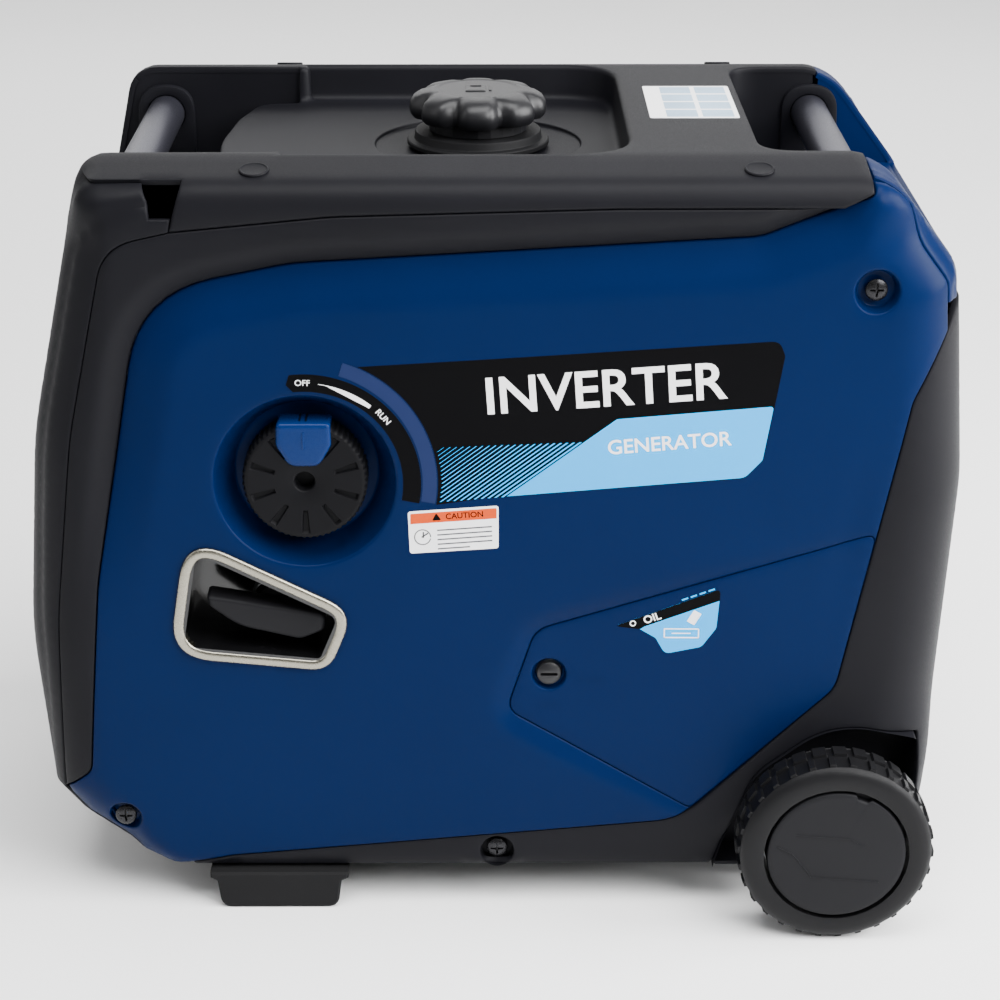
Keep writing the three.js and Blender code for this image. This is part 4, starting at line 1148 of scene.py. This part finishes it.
def cap_shape(angles, radius, height):
    """Finger notches between the lobes, and fine ribs on the side."""
    phase = (angles * CAP_LOBES / (2 * math.pi)) % 1
    notch = np.exp(-(((phase - 0.5) * 360 / CAP_LOBES / 8) ** 2))
    outer = np.clip((radius - CAP_FACE_R) / LOBE_LENGTH, 0, 1)
    rib = 0.3 * (np.arange(len(angles)) % 2) * (radius > 42)
    return radius - LOBE_NOTCH * outer * notch - rib, height - 1.2 * outer * notch * (height > 495)


def fuel_cap():
    profile = [
        (0, 484.3), (36, 484.3), (41.5, 485.2), (43.6, 487.5), (44.4, 491), (43.8, 495.5), (41.5, 499),
        (37.5, 501.5), (32, 502.9), (27, 503.3), (26, 502.8), (24, 502.8), (0, 503.2),
    ]
    cap = turned(profile, PLAN, FILLER, 192, cap_shape)
    x, y = FILLER
    can = [(x - 8, y - 9, 1), (x + 5, y - 9, 1), (x + 5, y + 9, 2), (x - 8, y + 9, 2)]
    glass = box_corners(x - 5, y + 1, x + 2, y + 6, 0.5)
    hose = [(x + 7, y - 7, 1), (x + 9, y - 7, 1), (x + 9, y + 5, 1), (x + 7, y + 8, 1)]
    for outline, holes in ((can, [rounded(glass)]), (hose, [])):
        cap.join(prism(rounded(outline), soft(502.6, 503.7, 0.3), PLAN, holes))
    return cap


clad("fuel_cap", fuel_cap(), "cap_shell", "cap_black")
FILLER_RING = [
    (29, 468.3), (46, 468.3), (46, 470.5), (45.4, 471.2), (41.5, 471.6), (41, 472.3), (41, 475.6),
    (40.4, 476.6), (39, 477), (30, 477), (29, 476), (29, 468.3),
]
clad("filler_ring", turned(FILLER_RING, PLAN, FILLER, 96), "machine", "panel_black")

# ---------------------------------------------------------------- engine switch and recoil starter

DIAL_GROOVES = 10
GROOVE_DEPTH = 2.0
TOOTH_DEPTH = 0.9


def dial_shape(angles, radius, height):
    """Short radial slots on the face and fine teeth round the rim."""
    phase = ((angles - math.pi / 2) * DIAL_GROOVES / (2 * math.pi)) % 1
    away = np.minimum(phase, 1 - phase) * 360 / DIAL_GROOVES
    groove = smooth(away, 4.6, 3.4) * smooth(radius, 19, 20.5) * smooth(radius, 34.5, 33)
    tooth = TOOTH_DEPTH * (np.arange(len(angles)) % 4 < 2) * (radius > 37.5)
    return radius - tooth, height - GROOVE_DEPTH * groove * (height > 160)


DIAL_PROFILE = [
    (0, 150), (36.5, 150), (38.6, 151), (38.6, 165.5), (38.0, 167.3), (36.8, 168.5), (35.6, 169),
    (34.5, 169), (33, 169), (20.5, 169), (19, 169), (7.4, 169), (6.6, 168.6), (6.2, 167.8), (5.6, 160),
    (0, 160),
]
dial = turned(DIAL_PROFILE, NEAR, DIAL, 240, dial_shape)
# The dial wears a darker copy of the cap's black. Its darker colour is painted shade.
clad("switch_dial", dial, "dial", "cap_black", look="dial_black_painted_shade")
POINTER = [(-16.4, 38.4, 3), (16.4, 38.4, 3), (17, 24, 8), (9, 10.4, 8), (-9, 10.4, 8), (-17, 24, 8)]
MARK = box_corners(-0.7, 22, 0.7, 33, 0.5)
pointer, mark = (
    rounded([(DIAL[0] + across, DIAL[1] + up, r) for across, up, r in corners])
    for corners in (POINTER, MARK)
)
shield = prism(pointer, [(0, 152), (0, 169.2), (0.6, 170.2), (1.6, 170.8), (3.2, 171)], NEAR)
shield.join(prism(mark, soft(170.6, 171.6, 0.4), NEAR))
clad("dial_pointer", shield, "dial", "body_blue", look="pointer_blue")

rim = rounded(RECESS, 10)
bezel = prism(rim, [(0, 165), (0, 170.8), (0.5, 171.8), (1.7, 172.4)], NEAR, [moved_in(rim, 6.8)])
clad("recoil_bezel", bezel, "machine", "chrome")

GRIP = [
    (-179.5, 220, 4), (-104.5, 207, 6), (-105.5, 195, 5), (-121, 188.5, 12), (-160, 198, 40),
    (-178, 212, 5),
]
GRIP_LEVELS = [
    (3, 147), (1, 148.5), (0, 151.5), (0, 163), (0.5, 165), (1.2, 166.2), (2.2, 166.8), (3.2, 167),
]
NECK = [(0, 134), (8, 134), (8, 148), (6, 149), (0, 149)]
EYELET = [
    (10.8, 133), (12.4, 133), (12.4, 145), (12.0, 145.5), (11.2, 145.5), (10.8, 145), (10.8, 133),
]
make("rope_guide_skin", turned(EYELET, NEAR, ROPE, 48), "machine", "panel_black", look="steel")
grip = prism(rounded(GRIP, 10), GRIP_LEVELS, NEAR).join(turned(NECK, NEAR, ROPE, 48))
clad("recoil_grip", grip, "grip", "cap_black", look="hub_plastic")

# The starter rope has short rings so that it can stretch from the reel to the grip.
rope_profile = [(0, 2), *((2.5, step) for step in np.linspace(2, 141, 48)), (0, 141)]
rope = clad("recoil_rope", turned(rope_profile, NEAR, ROPE, 16), None, "rope")
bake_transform(rope)

# ---------------------------------------------------------------- wheels, feet and small hardware

TREAD_BLOCKS = 30
TREAD_DEPTH = 1.9
WHEEL_MIDDLE_Y = 201.5


def tyre():
    """A solid rubber tyre with two staggered rows of blocks and a groove between them."""
    block = np.array([0, 0.04, 0.68, 0.72])
    angles = ((np.arange(TREAD_BLOCKS)[:, None] + block) * 2 * math.pi / TREAD_BLOCKS).ravel()

    def shape(angles, radius, height):
        across = height - WHEEL_MIDDLE_Y
        corner = np.arange(len(angles)) % 4
        low = (corner == 0) | (corner == 3)
        if across[0] > 0:
            low = np.roll(low, 2)
        depth = np.interp(np.abs(across), (1.2, 1.6, 12.2, 12.6), (0, TREAD_DEPTH, TREAD_DEPTH, 0))
        return radius - depth * low, height

    half = [
        (46, 17.0), (48, 17.5), (53, 17.5), (57, 16.6), (59.4, 15.0), (60.6, 13.2), (60.6, 12.6),
        (62.2, 12.2), (62.5, 8), (62.5, 1.6), (60.6, 1.2),
    ]
    profile = [(r, WHEEL_MIDDLE_Y - w) for r, w in half]
    profile += [(r, WHEEL_MIDDLE_Y + w) for r, w in half[::-1]]
    profile.append(profile[0])
    return turned(profile, NEAR, WHEEL, shape=shape, angles=angles)


both_sides("tyre_*_skin", tyre(), "wheel_*", "tyre", ["wheel_tyre_*"], sharp=30)
HUB = [
    (8.4, 177), (14, 177), (14, 184), (17, 186), (38, 186), (41, 184.5), (44, 184.5), (44, 213),
    (43.6, 214), (41, 214), (40, 213), (12, 213), (8.4, 213), (8.4, 177),
]
both_sides("hub_*_skin", turned(HUB, NEAR, WHEEL, 96), "wheel_*", "hub_plastic", ["wheel_hub_*"])


def cap_slot(angles, radius, height):
    """A pry slot in the rim of the hub cap."""
    away = np.abs(angles - math.radians(69))
    return radius - 2.4 * (away < math.radians(6)) * (radius > 42), height


HUB_CAP = [
    (0, 214.6), (41.5, 214.6), (43.7, 215.4), (43.7, 217.8), (43.4, 218.3), (42.6, 218.7), (40, 218.9),
    (0, 219),
]
# Fold lines on the hub cap, as upper and lower edges 1.1 apart.
FOLDS = [
    [(-26.5, 15.2), (7.6, 12.4), (17.6, 7), (17.6, 5.9), (7.6, 11.3), (-26.5, 14.1)],
    [
        (-37.8, 7), (-27.7, 1.6), (-15, -14.8), (27.7, -18.7),
        (27.7, -19.8), (-15.5, -15.9), (-28.2, 0.6), (-37.8, 5.9),
    ],
]
cap = turned(HUB_CAP, NEAR, WHEEL, 180, cap_slot)
for fold in FOLDS:
    cap.join(prism(np.array(fold) + WHEEL, [(0, 218.8), (0.3, 219.5)], NEAR))
both_sides("hub_cap_*_skin", cap, "wheel_*", "hub_plastic", ["hub_cap_*"])

FOOT_MIDDLE_X = -139.0
FOOT = [(-184, 25.7, 0), (-94, 25.7, 0), (-94, 21.5, 1.5), (-98.5, 19.5, 2), (-101, 0, 8)]
FOOT += [(2 * FOOT_MIDDLE_X - x, z, r) for x, z, r in FOOT[:1:-1]]
foot = prism(rounded(FOOT), [(1.5, 112), (0, 113.5), (0, 174.5), (1.5, 176)], NEAR)
both_sides("foot_*_skin", foot, "machine", "rubber", ["foot_*"])


def screw(radius, socket, face_y, centre):
    """A domed screw head with a socket sunk in its face."""
    drop = radius * 0.28
    ball = (radius**2 + drop**2) / (2 * drop)
    middle = np.array((centre[0], -(face_y - ball), centre[1]))

    def dome(points):
        return np.linalg.norm(points - middle, axis=1) - ball

    chart = Chart(*NEAR, (face_y - ball, face_y + 2), dome)
    features = [(socket + centre, *bowl(radius * 0.35, 0.15, 0.2, 0.15))]
    return shell(chart, [circle(centre, radius, 48)], (), features, spacing=1.2, roll=0.7, wall=2.2)


def cross(size, width):
    """A cross-shaped socket."""
    arm = [(width, width), (size, width * 0.8), (size, -width * 0.8)]
    points = []
    for quarter in range(4):
        turn = -quarter * math.pi / 2
        c, s = math.cos(turn), math.sin(turn)
        points += [(x * c - y * s, x * s + y * c) for x, y in arm]
    return np.array(points)


SCREW_FACE_Y = 166.6
for name, (x, z, _) in SCREWS.items():
    head = screw(7.2, cross(4.3, 0.85), SCREW_FACE_Y, np.array((x, z)))
    make(f"screw_{name}_near_skin", head, "machine", "screw_black", [f"screw_{name}"])
    make(f"screw_{name}_far_skin", head.mirrored(), "machine", "screw_black")
slot_mark = rounded(box_corners(-5.6, -1.1, 5.6, 1.1, 1))
lock = screw(8, slot_mark, SCREW_FACE_Y, np.array(LOCK))
make("oil_lock_skin", lock, "oil_lock", "cap_black", ["oil_cover_lock"])

# ---------------------------------------------------------------- labels
# A label is lifted 0.14 off its surface, and what is printed on it lies 0.2 to 0.28 over the surface.


def flush(flat):
    """The depth of a surface that isn't sunk."""
    return 0 * flat[:, 0]


def film(name, outlines, lift, slot, body="machine", depth=flush):
    """Thin printed shapes on the service side, lifted off a surface that is sunk by a depth."""
    skin = Skin()
    for outline in outlines:
        plate = prism(outline, [(0, lift - 0.12), (0, lift)], NEAR)
        sunk = depth(plate.points[:, [0, 2]])
        plate.points[:, 1] += sunk - HALF_WIDTH
        skin.add(plate.points, plate.faces)
    return make(name, skin, body, slot)


def arc(centre, radius, start, end, count=40):
    """Points along an arc between two angles in degrees."""
    angles = np.radians(np.linspace(start, end, count))
    return np.c_[centre[0] + radius * np.cos(angles), centre[1] + radius * np.sin(angles)]


def ring_part(centre, inner, outer, start, end):
    return np.vstack([arc(centre, outer, start, end), arc(centre, inner, end, start)])


def bar(x, z, length, height, turn=0.0):
    """A small rectangle that starts at a point and runs at an angle in degrees."""
    along = np.array((math.cos(math.radians(turn)), math.sin(math.radians(turn))))
    up = np.array((-along[1], along[0]))
    start = np.array((x, z), float)
    end = start + along * length
    return np.array([start, end, end + up * height, start + up * height])


def letters(name, text, size, centre, turn, lift, slot, body="machine", depth=flush, weight=0.0):
    """Words as flat printed letters on the service side."""
    curve = bpy.data.curves.new(name, "FONT")
    curve.body = text
    curve.size = size
    curve.align_x = "CENTER"
    curve.align_y = "CENTER"
    curve.resolution_u = 4
    curve.offset = weight
    holder = bpy.data.objects.new(name, curve)
    bpy.context.scene.collection.objects.link(holder)
    bpy.context.view_layer.update()
    shape = holder.evaluated_get(bpy.context.evaluated_depsgraph_get()).to_mesh()
    flat = np.array([v.co[:2] for v in shape.vertices])
    faces = [tuple(p.vertices) for p in shape.polygons]
    bpy.data.objects.remove(holder)
    c, s = math.cos(math.radians(turn)), math.sin(math.radians(turn))
    flat = flat @ np.array([(c, s), (-s, c)]) + centre
    points = np.c_[flat, np.full(len(flat), lift)] @ NEAR
    points[:, 1] += depth(flat) - HALF_WIDTH
    return make(name, Skin().add(points, faces), body, slot)


ARC_CENTRE = (DIAL[0] + 1.0, DIAL[1] - 0.5)
LABEL_R = 82.0
arc_label = np.vstack([
    arc(ARC_CENTRE, 70.5, -11, 97, 60),
    [(ARC_CENTRE[0] - 10.5, ARC_CENTRE[1] + 63.6)],
    arc(ARC_CENTRE, 59.5, 96, -11, 60),
])
sweep = np.vstack([
    arc(ARC_CENTRE, 65.0, 82, 51),
    arc(ARC_CENTRE, 62.6, 51, 52, 2),
    arc(ARC_CENTRE, 64.7, 78, 82, 3),
])
off_at = (DIAL[0] + 0.5, DIAL[1] + 64.4)
run_at = arc(ARC_CENTRE, 64.4, 42, 42, 1)[0]
film("switch_arc_film", [arc_label], 0.14, "film_black")
film("switch_band_film", [ring_part(DIAL, 72.5, LABEL_R - 0.8, -10, 72)], 0.12, "film_blue")
film("switch_sweep_film", [sweep], 0.22, "film_white")
letters("switch_off_letters", "OFF", 5.4, off_at, -1, 0.24, "film_white", weight=0.03)
letters("switch_run_letters", "RUN", 5.4, run_at, -49, 0.24, "film_white", weight=0.03)

LABEL_EDGE = [
    (-7, 286, 0), (155, 299, 9), (166, 311, 5), (176.5, 378, 4), (173, 387.5, 7), (-7, 376, 0),
    (-60, 330, 0),
]
CYAN = [(9, 287.6, 0), (155, 299.6, 8), (165.4, 311, 5), (171, 346, 2), (76, 338, 0)]
label = np.vstack([arc(DIAL, LABEL_R, 65.5, -10.5), rounded(LABEL_EDGE, 6)[:-1]])
film("side_label_film", [label], 0.14, "film_black")
film("side_label_band_film", [rounded(CYAN)], 0.2, "film_cyan")


def hatch():
    """Slanted lines that thin out away from the bright band."""
    slope = (CYAN[-1][0] - CYAN[0][0]) / (CYAN[-1][1] - CYAN[0][1])
    stripes = []
    for k in range(22):
        width = 1.5 * (1 - k / 26)
        foot = 5.5 - 4.2 * k
        low = 287.4 + (foot - 9) * 0.082
        high = 323 - 0.15 * k
        heights = np.linspace(low, high, 80)
        line = np.c_[foot + (heights - low) * slope, heights]
        clear = np.hypot(*(line - DIAL).T) > LABEL_R + 1.5
        if not clear[-6:].all():
            continue
        first = line[len(line) - np.argmin(clear[::-1])] if not clear.all() else line[0]
        across = np.array((width, 0))
        stripes.append(np.array([first, first + across, line[-1] + across, line[-1]]))
    return stripes


film("side_label_hatch_film", hatch(), 0.2, "film_cyan")
letters("side_label_letters", "INVERTER", 33, (68, 356.5), 4, 0.22, "film_white", weight=0.5)
letters("side_label_small_letters", "GENERATOR", 13, (108, 322), 4.6, 0.28, "film_white", weight=0.2)

CAUTION = [(-52, 277.5, 2), (4, 281.5, 2), (4, 253, 2), (-51, 249.5, 2)]
CAUTION_HEADER = [(-50.5, 276, 0.8), (2.8, 279.9, 0.8), (2.8, 273, 0), (-50.5, 269.2, 0)]
CAUTION_SIGN = [(-37, 271.6, 0.5), (-31.4, 272, 0.5), (-34.5, 276.6, 0.5)]
film("caution_film", [rounded(CAUTION)], 0.14, "film_white")
film("caution_header_film", [rounded(CAUTION_HEADER)], 0.2, "film_orange")
lines = [bar(-34 + 0.1 * k, 264.6 - 3.1 * k, 34 if k < 4 else 20, 0.9, 4.2) for k in range(5)]
lines += [ring_part((-43, 260.5), 4.6, 5.3, 0, 350), bar(-43.4, 260, 5, 0.9, 35), bar(-43, 260, 0.9, 4)]
film("caution_print_film", lines, 0.2, "film_grey")
letters("caution_letters", "CAUTION", 5.2, (-17, 275), 4.2, 0.26, "film_black", weight=0.06)
film("caution_sign_film", [rounded(CAUTION_SIGN, 2)], 0.26, "film_black")

ON_DOOR = {"body": "oil_door", "depth": door_depth}
OIL_FILM = [
    (77, 198, 1), (143, 224, 3), (141, 197, 6), (132, 184, 6), (109, 179, 5), (103, 190, 4), (93, 196, 3),
]
OIL_BAND = [(77, 198, 1), (143, 224, 3), (142.6, 216, 0), (96, 198, 2), (93, 196, 2)]
film("oil_label_film", [rounded(OIL_FILM)], 0.14, "film_cyan", **ON_DOOR)
film("oil_label_band_film", [rounded(OIL_BAND)], 0.2, "film_black", **ON_DOOR)
dashes = [bar(119 + 5.5 * k, 215.7 + 2.1 * k, 4.2, 1.1, 21) for k in range(4)]
film("oil_label_dashes_film", dashes, 0.26, "film_cyan", **ON_DOOR)
letters("oil_label_letters", "OIL", 7.2, (100.5, 203.6), 20, 0.26, "film_white", weight=0.12, **ON_DOOR)
pan = [bar(108, 196, 22, 0.8), bar(108, 190, 22, 0.8), bar(108, 190, 0.8, 6.5), bar(129.5, 190, 0.8, 6.5)]
pan += [bar(113, 193, 12, 0.7), bar(127, 199, 9, 5.5, 60), ring_part((88.5, 200), 1.3, 2.0, 0, 350)]
film("oil_label_icon_film", pan, 0.26, "film_white", **ON_DOOR)
letters("oil_lock_close_letters", "CLOSE", 6.5, (62, 160), 0, 0.15, "body_blue", **ON_DOOR)
letters("oil_lock_open_letters", "OPEN", 6.5, (36, 142), 0, 0.15, "body_blue", **ON_DOOR)

# The chart on the top has two columns of pictures.
CHART_X, CHART_WIDTH = 101.0, 57.0
CHART_Y, CHART_LENGTH = -34.0, 91.0


def top_plate(x, y, width, length, radius, low, high):
    """A thin rectangle printed on the top, between two heights over it."""
    outline = rounded(box_corners(x, y, x + width, y + length, radius))
    return prism(outline, [(0, RAIL_TOP_Z + low), (0, RAIL_TOP_Z + high)], PLAN)


sheet = top_plate(CHART_X, CHART_Y, CHART_WIDTH, CHART_LENGTH, 2, 0, 0.14)
make("top_chart_film", sheet, "machine", "film_white")
cells = Skin()
for column in range(2):
    for row in range(4):
        x, y = CHART_X + 11 + column * 23, CHART_Y + 3 + row * 22
        cells.join(top_plate(x, y, 20, 19, 1, 0.1, 0.2))
make("top_chart_cells_film", cells, "machine", "film_cells")
